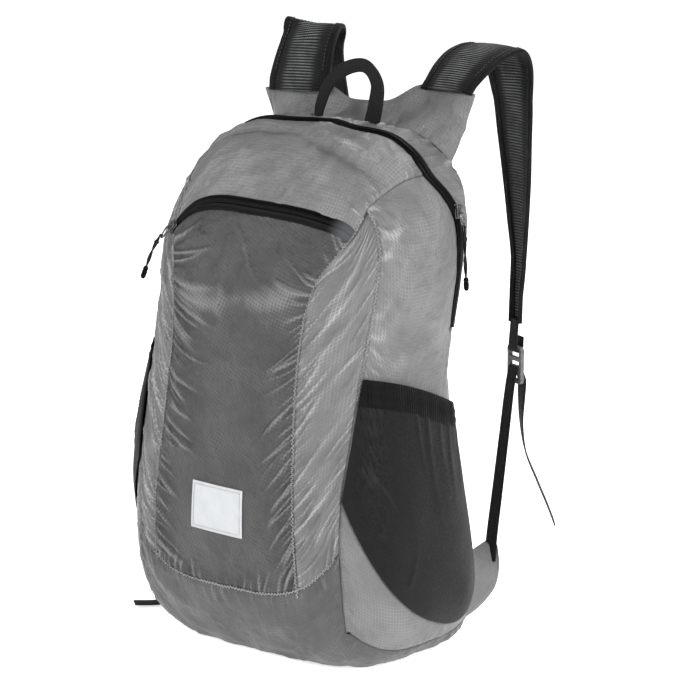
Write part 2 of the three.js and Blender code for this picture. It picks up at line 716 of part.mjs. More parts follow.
function backPanel() {
  const place = (s, t) => {
    const across = (2 * s - 1) * shiftU(meridian, 1, BACK, -SEAM_GAP / 2);
    const low = shiftV(meridian, across, BACK_FOOT, -SEAM_GAP / 2);
    const high = shiftV(meridian, across, TOP + backSeam(across), SEAM_GAP / 2);
    return [across, mix(low, high, t)];
  };
  return panel(GRID.back, meridian, place, BACK_FOLDS);
}

// The mesh pocket on a side: how far a place of it stands off the side panel.
function pocketLift(s, share) {
  const front = Math.sin(Math.PI * s) ** POCKET_ROUND;
  const across = front * mix(POCKET_FRONT_SWELL, POCKET_REAR_SWELL, s);
  const swell = tableValue(POCKET_SWELL, "share", "swell", share);
  return POCKET_EDGE_LIFT + POCKET_FULLNESS * across * swell;
}

function pocketSpot(s, share) {
  const foot = tableValue(POCKET_OUTLINE, "along", "foot", s);
  const mouth = tableValue(POCKET_OUTLINE, "along", "mouth", s);
  const up = mix(foot, mouth, share);
  return [mix(sideSeam(up) + POCKET_FRONT, 2 + POCKET_BACK, s), up];
}

// The share of the pocket's height that lies some millimetres under its mouth.
function underMouth(s, mm) {
  const foot = tableValue(POCKET_OUTLINE, "along", "foot", s);
  const [around, mouth] = pocketSpot(s, 1);
  return (shiftV(ring, around, mouth, -mm) - foot) / (mouth - foot);
}

function pocketSheet(side, columns, rows, from, to, thickness) {
  return bentSheet(columns, rows, (s, t, depth) => {
    const share = mix(from(s), to(s), t);
    const [around, up] = pocketSpot(s, share);
    const out = outward(ring, side * around, up);
    const lift = pocketLift(s, share) + depth * thickness;
    return ring(side * around, up).addScaledVector(out, lift);
  });
}

function meshPocket(side) {
  const top = (s) => underMouth(s, POCKET_HEM + SEAM_GAP);
  return pocketSheet(side, 9, 8, () => 0, top, POCKET_MESH);
}

function pocketHem(side) {
  const low = (s) => underMouth(s, POCKET_HEM);
  return pocketSheet(side, 12, 1, low, () => 1, POCKET_HEM_THICKNESS);
}

// A label sewn flat on the front pocket.
function labelPatch() {
  const wide = shiftU(meridian, LABEL_ACROSS, LABEL_UP, LABEL_WIDTH / 2) - LABEL_ACROSS;
  const high = shiftV(meridian, LABEL_ACROSS, LABEL_UP, LABEL_HEIGHT / 2) - LABEL_UP;
  return bentSheet(...GRID.label, (s, t, depth) => {
    const u = LABEL_ACROSS + (2 * s - 1) * wide;
    const v = LABEL_UP + (2 * t - 1) * high;
    const lift = REST_GAP + LABEL_LIFT + depth * LABEL_THICKNESS;
    return meridian(u, v).addScaledVector(outward(meridian, u, v), lift);
  });
}

// The middle line, face and width of a band whose rows hold x, y, z, turn and, where it
// tapers, width.
function bandPath(rows, width) {
  const points = rows.map((row) => new THREE.Vector3(row.x, row.y, row.z));
  const curve = new THREE.CatmullRomCurve3(points, false, "centripetal");
  const last = rows.length - 1;
  return (t) => {
    const i = Math.min(Math.floor(t * last), last - 1);
    const low = rows[i];
    const high = rows[i + 1];
    const share = t * last - i;
    const turn = THREE.MathUtils.degToRad(mix(low.turn, high.turn, share));
    const tangent = curve.getTangent(t);
    const across = new THREE.Vector3(Math.cos(turn), Math.sin(turn), 0);
    across.addScaledVector(tangent, -across.dot(tangent)).normalize();
    return {
      point: curve.getPoint(t),
      across,
      out: new THREE.Vector3().crossVectors(across, tangent).normalize(),
      width: width * mix(low.width ?? 1, high.width ?? 1, share),
    };
  };
}

const wholeWidth = { from: () => -0.5, to: () => 0.5 };

// A band along its rows. From and to are its edges' places over the full width, which is 1
// wide with 0 in its middle, and cup is how far its middle bows out.
function band(rows, width, thickness, grid, edges = wholeWidth, cup = 0) {
  const path = bandPath(rows, width);
  return bentSheet(grid.columns, grid.steps, (s, t, depth) => {
    const { point, across, out, width: full } = path(t);
    const place = mix(edges.from(full), edges.to(full), s);
    const bow = cup * (1 - (2 * place) ** 2);
    point.addScaledVector(across, place * full);
    return point.addScaledVector(out, (depth - 0.5) * thickness + bow);
  });
}

// A strap's table as places: counted from the yoke's edge on its side.
const STRAP_STEPS = 22;

function strapRows(side, table) {
  const root = yokeTop(side * STRAP_ALONG);
  return table.map(({ right, back, up, width, turn }) => ({
    x: root.x + right * STRAP_REACH,
    y: root.y + back * STRAP_REACH,
    z: root.z + up * STRAP_REACH,
    width,
    turn,
  }));
}

function strapMesh(rows) {
  const inner = (full) => 0.5 - (STRAP_BINDING + REST_GAP) / full;
  const edges = { from: (full) => -inner(full), to: inner };
  const grid = { columns: 2, steps: STRAP_STEPS };
  return band(rows, STRAP_WIDTH, STRAP_THICKNESS, grid, edges, STRAP_CUP);
}

function strapBinding(rows, side) {
  const edges = { from: (full) => side * (0.5 - STRAP_BINDING / full), to: () => side * 0.5 };
  const grid = { columns: 1, steps: STRAP_STEPS };
  return band(rows, STRAP_WIDTH, BINDING_THICKNESS, grid, edges, STRAP_CUP);
}

// The frame of a ladder lock, with its bars across and its height upright.
function lockFrame(lock) {
  const turn = THREE.MathUtils.degToRad(lock.turn);
  const across = new THREE.Vector3(Math.cos(turn), Math.sin(turn), 0);
  const up = new THREE.Vector3(0, 0, 1);
  const out = new THREE.Vector3().crossVectors(up, across);
  return { across, up, out, middle: new THREE.Vector3(lock.x, lock.y, lock.z) };
}

// Where a strap's lock hangs, under the strap's foot.
function lockUnder(strap, side) {
  const foot = strap[strap.length - 1];
  return { x: foot.x, y: foot.y + LOCK_SET_BACK, z: foot.z - LOCK_DROP, turn: -side * LOCK_TURN };
}

// The height of a bar's middle over the lock's middle. Bar 0 is the top one.
function lockBar(index) {
  return (LOCK_HEIGHT - LOCK_BAR) / 2 - index * (LOCK_BAR + LOCK_SLOT);
}

// A ladder lock: two rails and four bars, cut through between them.
function ladderLock(lock) {
  const outline = roundedRectangle(LOCK_WIDTH, LOCK_HEIGHT, LOCK_CORNER);
  const half = LOCK_WIDTH / 2 - LOCK_RAIL;
  for (let i = 1; i < LOCK_BARS; i += 1) {
    const low = lockBar(i) + LOCK_BAR / 2;
    const hole = new THREE.Path();
    hole.moveTo(-half, low);
    hole.lineTo(-half, low + LOCK_SLOT);
    hole.lineTo(half, low + LOCK_SLOT);
    hole.lineTo(half, low);
    hole.closePath();
    outline.holes.push(hole);
  }
  const { across, up, middle } = lockFrame(lock);
  return slab(outline, LOCK_THICKNESS, across, up, across.clone().cross(up), middle);
}

function roundedRectangle(width, height, radius) {
  const x = width / 2 - radius;
  const y = height / 2 - radius;
  const shape = new THREE.Shape();
  shape.absarc(x, y, radius, 0, Math.PI / 2);
  shape.absarc(-x, y, radius, Math.PI / 2, Math.PI);
  shape.absarc(-x, -y, radius, Math.PI, 1.5 * Math.PI);
  shape.absarc(x, -y, radius, 1.5 * Math.PI, 2 * Math.PI);
  shape.closePath();
  return shape;
}

// A geometry with only merged positions, facing out.
const MERGE_WITHIN = 1e-4;

function closed(geometry) {
  const bare = geometry.index ? geometry.toNonIndexed() : geometry.clone();
  bare.deleteAttribute("normal");
  bare.deleteAttribute("uv");
  return facingOut(mergeVertices(bare, MERGE_WITHIN));
}

// Webbing rows turned round a bar of the lock, from behind it, through the slot and out in
// front, on a path that is squarer than a circle.
const BAR_TURNS = [-180, -150, -125, -90, -55, -30, 0];

function roundBar(lock, bar, sign) {
  const { up, out, middle } = lockFrame(lock);
  const reach = (LOCK_THICKNESS + WEBBING_THICKNESS) / 2 + LOCK_PLAY;
  const tip = (LOCK_BAR + WEBBING_THICKNESS) / 2 + LOCK_PLAY;
  return BAR_TURNS.map((angle) => {
    const turn = THREE.MathUtils.degToRad(angle);
    const p = middle.clone();
    p.addScaledVector(out, reach * Math.sign(Math.cos(turn)) * Math.sqrt(Math.abs(Math.cos(turn))));
    p.addScaledVector(up, lockBar(bar) + sign * tip * Math.sqrt(Math.abs(Math.sin(turn))));
    return { x: p.x, y: p.y, z: p.z, turn: lock.turn };
  });
}

// From the strap's foot, down behind the lock's top bar, through its slot and up again.
function strapTab(strap, lock) {
  const foot = strap[strap.length - 1];
  const { up, out, middle } = lockFrame(lock);
  const end = middle.clone().addScaledVector(up, LOCK_HEIGHT / 2 + STRAP_TAB_RETURN);
  end.addScaledVector(out, (LOCK_THICKNESS + WEBBING_THICKNESS) / 2 + LOCK_PLAY + REST_GAP);
  const rows = [
    { x: foot.x, y: foot.y, z: foot.z - STRAP_TAB_GAP, turn: foot.turn },
    ...roundBar(lock, TAB_BAR, -1),
    { x: end.x, y: end.y, z: end.z, turn: lock.turn },
  ];
  const grid = { columns: 1, steps: 2 * (rows.length - 1) };
  return band(rows, WEBBING_WIDTH, WEBBING_THICKNESS, grid);
}

// Where the lower webbing leaves its wing.
function webFoot(side) {
  return {
    x: side * WEB_FOOT.across * BODY_HALF_WIDTH,
    y: WEB_FOOT.back * BODY_HALF_DEPTH,
    z: WEB_FOOT.up * BODY_HEIGHT,
    turn: -side * WEB_FOOT_TURN,
  };
}

// From the wing up behind the lock, over its third bar and down as the free end.
function lowerWebbing(foot, lock, tail) {
  const rise = WEB_RISE.map((share) => ({
    x: mix(foot.x, lock.x, share),
    y: mix(foot.y, lock.y - WEB_BEHIND, share),
    z: mix(foot.z, lock.z - WEB_BELOW, share),
    turn: mix(foot.turn, lock.turn, share),
  }));
  const fall = tail.map(({ right, back, up, turn }) => ({
    x: lock.x + right * lock.z,
    y: lock.y + back * lock.z,
    z: up * lock.z,
    turn,
  }));
  const rows = [...rise, ...roundBar(lock, WEB_BAR, 1), ...fall];
  const grid = { columns: 1, steps: 2 * (rows.length - 1) };
  return band(rows, WEBBING_WIDTH, WEBBING_THICKNESS, grid);
}

// The body's back edge on a side, which runs on under the base where up is below -1.
function backEdge(around, up) {
  const under = Math.max(0, -1 - up);
  return skin(around * (1 - under), 1 - under, Math.max(-1, up));
}

// A cloth wing at the foot of the back edge, which holds the lower webbing.
function strapWing(side, foot) {
  const turn = THREE.MathUtils.degToRad(foot.turn);
  const half = new THREE.Vector3(Math.cos(turn), Math.sin(turn), 0).multiplyScalar(WING_END / 2);
  const top = new THREE.Vector3(foot.x, foot.y, foot.z - WING_END_GAP);
  const outer = top.clone().addScaledVector(half, side);
  const inner = top.clone().addScaledVector(half, -side);
  const face = new THREE.Vector3(side * WING_FACE.across, WING_FACE.back, WING_FACE.up).normalize();
  return bentSheet(...GRID.wing, (s, t, depth) => {
    const up = mix(WING_LOW, WING_HIGH, s);
    const root = backEdge(side, up).addScaledVector(outward(backEdge, side, up), WING_ROOT_GAP);
    const point = root.lerp(outer.clone().lerp(inner, s), t);
    const belly = WING_BELLY * Math.sin(Math.PI * t) * (1 - s);
    point.add(new THREE.Vector3(side * belly * WING_SPREAD, belly, -belly * WING_SAG));
    return point.addScaledVector(face, (depth - 0.5) * CLOTH);
  });
}

// The yoke that joins the top of the back panel to both straps.
function yokeFoot(along) {
  const across = along * YOKE_SEAM_SHARE;
  const seam = backSeam(across);
  return arch(across, seam).addScaledVector(outward(arch, across, seam), YOKE_FOOT_GAP);
}

function yokeTop(along) {
  const spread = tableValue(YOKE, "along", "spread", along) * YOKE_HEIGHT;
  const lean = tableValue(YOKE, "along", "lean", along) * YOKE_HEIGHT;
  const rise = tableValue(YOKE, "along", "rise", along) * YOKE_HEIGHT;
  const x = along * YOKE_HALF_WIDTH + spread;
  return new THREE.Vector3(x, yokeFoot(along).y + lean, BODY_HEIGHT - YOKE_DROP + rise);
}

function shoulderYoke() {
  const face = new THREE.Vector3(0, YOKE_FACE.back, YOKE_FACE.up);
  return bentSheet(...GRID.yoke, (s, t, depth) => {
    const point = yokeFoot(2 * s - 1).lerp(yokeTop(2 * s - 1), t);
    const bow = Math.sin(Math.PI * t) * YOKE_BOW;
    return point.addScaledVector(face, (depth - 0.5) * CLOTH + bow);
  });
}

// The grab handle: webbing bent into an arch in its own plane.
function grabHandle() {
  const feet = [-1, 1].map((side) => arch(side * HANDLE_ACROSS, HANDLE_BACK));
  const middle = feet[0].clone().add(feet[1]).multiplyScalar(0.5);
  const spacing = feet[0].distanceTo(feet[1]);
  const points = HANDLE.map(({ across, lean, up }) => new THREE.Vector3(
    middle.x + across * spacing,
    middle.y + lean * HANDLE_RISE,
    middle.z + HANDLE_GAP + up * HANDLE_RISE,
  ));
  const curve = new THREE.CatmullRomCurve3(points, false, "centripetal");
  const face = new THREE.Vector3(0, -1, 0);
  return bentSheet(...GRID.handle, (s, t, depth) => {
    const across = new THREE.Vector3().crossVectors(face, curve.getTangent(t)).normalize();
    const point = curve.getPoint(t).addScaledVector(across, (s - 0.5) * HANDLE_WIDTH);
    return point.addScaledVector(face, (depth - 0.5) * HANDLE_THICKNESS);
  });
}

// The frame of a slider on its zip: along the zip, across it, and out of the cloth.
function sliderFrame(chart, u, v) {
  const out = outward(chart, u, v);
  const along = chart(u + NUDGE, v).sub(chart(u - NUDGE, v)).normalize();
  const across = new THREE.Vector3().crossVectors(out, along).normalize();
  return { out, along, across, point: chart(u, v) };
}

// A flat shape given a thickness and laid in a frame, with its middle at a point.
function slab(shape, thickness, across, along, out, middle) {
  const way = { depth: thickness, bevelEnabled: false, curveSegments: ROUND_STEPS };
  const solid = new THREE.ExtrudeGeometry(shape, way);
  solid.translate(0, 0, -thickness / 2);
  solid.applyMatrix4(new THREE.Matrix4().makeBasis(across, along, out).setPosition(middle));
  return closed(solid);
}

function zipSlider(frame) {
  const shape = roundedRectangle(SLIDER_WIDTH, SLIDER_LENGTH, SLIDER_CORNER);
  const lift = SLIDER_LIFT + SLIDER_THICKNESS / 2;
  const middle = frame.point.clone().addScaledVector(frame.out, lift);
  return slab(shape, SLIDER_THICKNESS, frame.across, frame.along, frame.out, middle);
}

// A metal pull that hangs from the slider's bridge, with an eye for the cord.
function zipPull(frame, cordPoints) {
  const shape = roundedRectangle(PULL_WIDTH, PULL_LENGTH, PULL_CORNER);
  const eye = new THREE.Path();
  const halfWidth = PULL_WIDTH / 2 - PULL_WALL;
  const halfLength = PULL_LENGTH / 2 - PULL_WALL;
  eye.absellipse(0, 0, halfWidth, halfLength, 0, 2 * Math.PI, true);
  shape.holes.push(eye);
  const { middle, across, along, out } = pullFrame(frame, cordPoints);
  return slab(shape, PULL_THICKNESS, across, along, out, middle);
}

// The pull lies in line with its cord, but never leans into the slider under it.
function pullFrame(frame, cordPoints) {
  const [start, next] = cordPoints.map((p) => new THREE.Vector3(...p));
  const along = next.sub(start).normalize();
  along.addScaledVector(frame.out, Math.max(0, -along.dot(frame.out))).normalize();
  const lift = SLIDER_LIFT + SLIDER_THICKNESS + REST_GAP + PULL_THICKNESS / 2;
  const middle = frame.point.clone().addScaledVector(frame.out, lift);
  middle.addScaledVector(along, PULL_DROP);
  const across = new THREE.Vector3().crossVectors(along, frame.out).normalize();
  return { middle, across, along, out: across.clone().cross(along) };
}

// A cord through its hand-picked points, and the moulded end that it runs into.
function cord(points) {
  const curve = new THREE.CatmullRomCurve3(points.map((p) => new THREE.Vector3(...p)));
  const section = new THREE.Shape();
  for (let i = 0; i < CORD_SIDES; i += 1) {
    const turn = (2 * Math.PI * i) / CORD_SIDES;
    const x = (CORD_DIAMETER / 2) * Math.cos(turn);
    const y = (CORD_DIAMETER / 2) * Math.sin(turn);
    if (i === 0) section.moveTo(x, y);
    else section.lineTo(x, y);
  }
  section.closePath();
  return closed(new THREE.ExtrudeGeometry(section, { steps: CORD_STEPS, extrudePath: curve }));
}

function cordEnd(points) {
  const end = new THREE.Vector3(...points[points.length - 1]);
  const before = new THREE.Vector3(...points[points.length - 2]);
  const along = end.clone().sub(before).normalize();
  const wall = CORD_END.map((row) => [(row.radius * CORD_END_DIAMETER) / 2, row.along * CORD_END_LENGTH]);
  const profile = [[0, 0], ...wall, [0, CORD_END_LENGTH]].map(([x, y]) => new THREE.Vector2(x, y));
  const body = new THREE.LatheGeometry(profile, CORD_END_SIDES);
  body.applyQuaternion(new THREE.Quaternion().setFromUnitVectors(new THREE.Vector3(0, 1, 0), along));
  const seat = end.addScaledVector(along, REST_GAP);
  body.translate(seat.x, seat.y, seat.z);
  return closed(body);
}

// Materials
const cloth = (color) => ({ color, roughness: 0.62, metalness: 0 });
const FINISHES = {
  front: cloth(0x646464),
  upper: cloth(0x8e8e8e),
  side: cloth(0x888888),
  base: cloth(0x727272),
  mesh: { color: 0x2d2d2f, roughness: 0.85, metalness: 0 },
  strap: { color: 0x26262a, roughness: 0.8, metalness: 0 },
  webbing: { color: 0x37393b, roughness: 0.75, metalness: 0 },
  zip: { color: 0x1c1c20, roughness: 0.6, metalness: 0 },
  label: { color: 0xe6ebf0, roughness: 0.7, metalness: 0 },
  metal: { color: 0x6e7074, roughness: 0.35, metalness: 0.9 },
  plastic: { color: 0x6c6e70, roughness: 0.5, metalness: 0 },
};

const bag = new THREE.Group();

function add(name, finish, geometry) {
  const mesh = new THREE.Mesh(geometry, new THREE.MeshStandardMaterial(FINISHES[finish]));
  mesh.name = name;
  bag.add(mesh);
}

add("front_panel", "upper", frontPanel());
add("front_pocket_panel", "front", frontPocketPanel());
add("base_panel", "base", basePanel());
add("back_panel", "side", backPanel());
add("top_gusset", "side", topGusset());
add("shoulder_yoke", "side", shoulderYoke());
add("main_zip", "zip", mainZipTape());
add("pocket_zip", "zip", pocketZipTape());
add("label_patch", "label", labelPatch());
add("grab_handle", "webbing", grabHandle());

const SIDES = [
  { name: "left", side: -1, strap: STRAP_LEFT, tail: TAIL_LEFT },
  { name: "right", side: 1, strap: STRAP_RIGHT, tail: TAIL_RIGHT },
];
for (const { name, side, strap, tail } of SIDES) {
  const rows = strapRows(side, strap);
  const lock = lockUnder(rows, side);
  add(`front_gore_${name}`, "side", frontGore(side));
  add(`side_panel_${name}`, "side", sidePanel(side));
  add(`mesh_pocket_${name}`, "mesh", meshPocket(side));
  add(`pocket_hem_${name}`, "mesh", pocketHem(side));
  add(`shoulder_strap_${name}`, "strap", strapMesh(rows));
  add(`strap_binding_outer_${name}`, "webbing", strapBinding(rows, side));
  add(`strap_binding_inner_${name}`, "webbing", strapBinding(rows, -side));
  add(`strap_tab_${name}`, "webbing", strapTab(rows, lock));
  add(`ladder_lock_${name}`, "plastic", ladderLock(lock));
  add(`lower_webbing_${name}`, "webbing", lowerWebbing(webFoot(side), lock, tail));
  add(`strap_wing_${name}`, "side", strapWing(side, webFoot(side)));
}

const mainAt = sliderFrame(arch, MAIN_SLIDER_AT, mainZip(MAIN_SLIDER_AT, 0));
add("main_zip_slider", "metal", zipSlider(mainAt));
add("main_zip_pull", "metal", zipPull(mainAt, MAIN_CORD));
add("main_zip_cord", "webbing", cord(MAIN_CORD));
add("main_zip_cord_end", "zip", cordEnd(MAIN_CORD));

const pocketAt = sliderFrame(meridian, POCKET_SLIDER_AT, pocketZip(POCKET_SLIDER_AT, 0));
add("pocket_zip_slider", "metal", zipSlider(pocketAt));
add("pocket_zip_pull", "metal", zipPull(pocketAt, POCKET_CORD));
add("pocket_zip_cord", "webbing", cord(POCKET_CORD));
add("pocket_zip_cord_end", "zip", cordEnd(POCKET_CORD));

export default bag;
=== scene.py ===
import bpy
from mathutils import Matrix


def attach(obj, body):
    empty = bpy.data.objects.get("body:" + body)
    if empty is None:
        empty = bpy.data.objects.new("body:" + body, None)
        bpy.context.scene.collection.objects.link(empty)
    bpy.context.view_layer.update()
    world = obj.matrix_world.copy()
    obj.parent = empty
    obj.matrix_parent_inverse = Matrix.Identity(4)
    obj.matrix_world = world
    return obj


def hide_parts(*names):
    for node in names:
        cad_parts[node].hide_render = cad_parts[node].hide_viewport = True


bl_info = {
    "name": "Hiking Backpack",
    "version": (1, 0, 0),
    "blender": (4, 5, 0),
    "location": "View3D > Sidebar > Backpack",
    "description": "Dresses the hiking backpack in ripstop cloth, mesh, webbing, zips and buckles",
    "category": "Object",
}

import math

import bmesh
import bpy
import numpy as np
from mathutils import Matrix, Vector

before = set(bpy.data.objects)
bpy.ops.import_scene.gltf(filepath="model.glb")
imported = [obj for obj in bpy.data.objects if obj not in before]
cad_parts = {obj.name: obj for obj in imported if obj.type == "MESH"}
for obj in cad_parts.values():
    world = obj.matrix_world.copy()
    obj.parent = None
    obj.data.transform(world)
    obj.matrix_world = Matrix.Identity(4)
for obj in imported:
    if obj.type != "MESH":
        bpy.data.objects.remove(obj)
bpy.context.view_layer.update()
ROOT = "root"
SIDES = (("left", -1), ("right", 1))
NUDGE = 1e-3  # a small step on a chart, for its slopes
FLOOR_CLEAR = 0.0004
WING_CLEAR = 0.0006

# Sizes in metres. Those of the solids are as the part has them
BODY_HEIGHT = 0.472
BODY_HALF_WIDTH = 0.148
BODY_HALF_DEPTH = 0.095
BASE_SINK = 0.008
CORNER_POWER = 3.4
CROWN_POWER = 4.6
FOOT_POWER = 6.5
MAIN_ZIP_WIDTH = 0.011
POCKET_ZIP_WIDTH = 0.013
ZIP_END_GAP = 0.003
ZIP_SPREAD = 0.0009  # how far the tapes lie over the cloth beside them
ZIP_SHINE = 0.082  # from here along the pocket zip its tape shines
UNDER_ZIP = 0.0012  # how far the cloth runs under a zip's tape
POCKET_FULLNESS = 0.012
POCKET_EDGE_LIFT = 0.001
POCKET_HEM = 0.024
POCKET_FRONT = 0.01
POCKET_BACK = 0.93
POCKET_ROUND = 0.7
POCKET_SWELLS = (1.2, 0.4)
LABEL_SIZE = (0.062, 0.044)
LABEL_SPOT = (-0.05, -0.39)
LABEL_SEAM = 0.0028  # from its edge to its stitches
LABEL_CALM = (0.36, 0.16)  # how far the cloth round it lies quiet, across and up
LABEL_THICKNESS = 0.0007
ZIP_THICKNESS = 0.0012
MESH_THICKNESS = 0.0012
HEM_THICKNESS = 0.0016
STRAP_WIDTH = 0.068
STRAP_THICKNESS = 0.003
STRAP_REACH = 0.25
STRAP_ALONG = 0.63
STRAP_BINDING = 0.008
STRAP_CUP = 0.003
STRAP_SEWN = (0.012, 0.002)  # how deep its end is sewn in, and how far back
BINDING_THICKNESS = 0.0046
WEBBING_WIDTH = 0.015
WEBBING_THICKNESS = 0.0014
WEBBING_SEWN = (0.02, 0.002)
LOCK_THICKNESS = 0.004
LOCK_RAIL = 0.004
LOCK_BAR = 0.004
LOCK_SLOT = 0.0065
LOCK_BARS = 4
LOCK_WIDTH = 0.024
LOCK_HEIGHT = LOCK_BARS * LOCK_BAR + (LOCK_BARS - 1) * LOCK_SLOT
LOCK_PLAY = 0.0006
LOCK_DROP = 0.04
LOCK_SET_BACK = 0.002
LOCK_TURN = 20
LOCK_CORNER = 0.0046
LOCK_EDGE = 0.0009
WING_END = 0.017
WING_LOW = -1.3
WING_HIGH = -0.78
WING_BELLY = 0.018
HANDLE_WIDTH = 0.018
HANDLE_RISE = 0.05
HANDLE_SPOT = (0.235, 0.29)
YOKE_HALF_WIDTH = 0.121
YOKE_HEIGHT = 0.038
YOKE_SEAM_SHARE = 0.83
YOKE_DROP = 0.01
YOKE_BOW = 0.003
YOKE_THICKNESS = 0.0016
YOKE_GATHERS = 17
SLIDER_LIFT = 0.0011
SLIDER_THICKNESS = 0.004
PULL_SIZE = (0.008, 0.014)
PULL_DROP = 0.0075
PULL_PLAY = 0.0004
PULL_HALF = 0.0008
PULL_WIRE = 0.00085
PULL_INSET = 0.0009
CORD_DIAMETER = 0.0024
CORD_END_LENGTH = 0.012
CORD_END_DIAMETER = 0.005
CORD_TWIST = 7.0  # in radians along the cord
KNOT_AT = 0.26
KNOT_REACH = 0.035
KNOT_HEIGHT = 0.0008
# right, up, back and place
CAMERA = (
    (0.75471, 0.65606, 0.0),
    (-0.14758, 0.16977, 0.97437),
    (0.63924, -0.73537, 0.22495),
    (1.92927, -2.15602, 0.93461),
)
# name, place, size and share of the key light's power
LAMPS = (
    ("key", (2.5, -0.95, 1.9), 0.9, 1.0),
    ("fill", (-1.7, -1.9, 1.6), 1.2, 0.4),
    ("back", (-0.3, 2.4, 2.0), 1.4, 0.45),
)
LAMPS_AIM = (0, 0, 0.28)
FLOOR_SIZE = 14.0
FLOOR_GLOW = 0.72

# height, width, front, back
SECTIONS = (
    (0.0, 1.07, 1.0, 1.16),
    (0.12, 1.07, 1.11, 1.12),
    (0.28, 1.03, 1.16, 0.98),
    (0.45, 0.96, 1.09, 0.87),
    (0.6, 0.91, 0.99, 0.92),
    (0.76, 0.93, 0.86, 1.1),
    (0.88, 0.95, 0.62, 1.18),
    (1.0, 0.92, 0.34, 1.1),
)
# across, back
MAIN_ZIP = (
    (0.0, 0.1),
    (0.3, -0.14),
    (0.55, -0.08),
    (0.8, -0.06),
    (1.0, 0.0),
    (1.15, 0.22),
    (1.3, 0.45),
    (1.5, 0.62),
    (1.75, 0.75),
)
MAIN_ZIP_END = 1.72
ZIP_END_SLANT = 0.14
# across, up
POCKET_ZIP = ((-0.95, 0.7), (-0.6, 0.765), (0.0, 0.768), (0.5, 0.773), (0.85, 0.807))
# up, left, right
FRONT_SEAM = (
    (-0.8, 0.62, 0.55),
    (0.2, 0.64, 0.56),
    (0.5, 0.72, 0.62),
    (0.7, 0.88, 0.8),
    (0.85, 0.93, 0.92),
    (1.0, 1.0, 1.0),
)
# up, around
SIDE_SEAM = (
    (-1.0, 0.96),
    (-0.7, 0.955),
    (-0.4, 1.0),
    (0.0, 1.2),
    (0.3, 1.32),
    (0.6, 1.32),
    (0.85, 1.16),
    (1.0, 1.0),
)
FOOT_SEAM = ((-1.0, -0.605), (-0.5, -0.695), (0.0, -0.7), (0.5, -0.675), (1.0, -0.565))
BACK_SEAM = ((0.0, 0.48), (0.6, 0.5), (0.85, 0.64), (1.0, 1.0))
FRONT_ROWS = 5 / 14  # the share of the base that climbs the front
BASE_CORNER = 0.03  # how far under the body the base reaches its full width
# along, foot, mouth
POCKET_OUTLINE = (
    (0.0, -0.34, 0.175),
    (0.25, -0.64, 0.13),
    (0.5, -0.82, 0.077),
    (0.75, -0.89, 0.014),
    (1.0, -0.78, -0.038),
)
POCKET_SWELL = ((0.0, 0.0), (0.2, 0.62), (0.5, 1.0), (0.8, 0.88), (1.0, 0.5))
# along, spread, lean, rise
YOKE = (
    (-1.0, 0.1, 0.1, 0.84),
    (-0.62, 0.0, 0.25, 0.95),
    (-0.32, 0.0, 0.35, 0.9),
    (-0.16, 0.0, 0.45, 0.66),
    (0.0, 0.0, 0.5, 0.64),
    (0.18, 0.0, 0.7, 0.68),
    (0.36, 0.0, 1.05, 1.04),
    (0.65, -0.05, 1.15, 1.12),
    (1.0, -0.3, 0.9, 1.0),
)
# right, back, up, width, turn
STRAPS = {
    1: (
        (0.016, 0.0, 0.01, 0.86, 0),
        (0.016, 0.065, 0.058, 0.95, 0),
        (0.02, 0.145, 0.098, 1.0, 0),
        (0.033, 0.24, 0.11, 1.0, -2),
        (0.04, 0.297, 0.054, 0.94, -8),
        (0.053, 0.313, -0.082, 0.9, -18),
        (0.06, 0.317, -0.218, 0.87, -22),
        (0.07, 0.32, -0.378, 0.8, -26),
        (0.08, 0.317, -0.538, 0.68, -30),
        (0.09, 0.31, -0.678, 0.52, -34),
        (0.094, 0.293, -0.818, 0.36, -30),
        (0.097, 0.285, -0.914, 0.3, -24),
    ),
    -1: (
        (0.005, 0.003, 0.008, 1.06, 0),
        (0.0, 0.03, 0.08, 1.0, 0),
        (-0.007, 0.07, 0.152, 0.93, 0),
        (-0.027, 0.123, 0.184, 0.88, 0),
        (-0.063, 0.17, 0.136, 0.88, 4),
        (-0.087, 0.203, 0.024, 0.9, 8),
        (-0.103, 0.24, -0.112, 0.92, 12),
        (-0.115, 0.28, -0.272, 0.86, 16),
        (-0.123, 0.315, -0.432, 0.74, 20),
        (-0.127, 0.34, -0.592, 0.56, 24),
        (-0.127, 0.35, -0.72, 0.38, 22),
        (-0.127, 0.355, -0.824, 0.3, 20),
    ),
}
WEB_FOOT = (0.818, 1.305, 0.174, 12)
WEB_RISE = (0, 0.33, 0.67, 1)
WEB_BEHIND = 0.008
WEB_BELOW = 0.018
# right, back, up, turn
TAILS = {
    1: (
        (0.012, 0.025, 0.936, -20),
        (0.012, 0.025, 0.869, -26),
        (0.012, 0.025, 0.763, -40),
        (0.008, 0.059, 0.636, -48),
        (0.008, 0.136, 0.5, -50),
        (0.008, 0.212, 0.373, -50),
        (0.008, 0.254, 0.297, -50),
    ),
    -1: (
        (-0.008, 0.014, 0.929, 20),
        (-0.008, 0.024, 0.833, 20),
        (-0.024, 0.024, 0.595, 16),
        (-0.063, 0.016, 0.317, 12),
        (-0.111, -0.016, 0.103, 8),
        (-0.151, -0.095, 0.02, 4),
        (-0.175, -0.254, 0.008, 2),
        (-0.183, -0.468, 0.008, 0),
        (-0.175, -0.667, 0.008, -4),
        (-0.198, -0.802, 0.009, -20),
        (-0.254, -0.873, 0.012, -36),
    ),
}
BAR_TURNS = (-180, -150, -125, -90, -55, -30, 0)
TAB_BAR = 0
WEB_BAR = 2
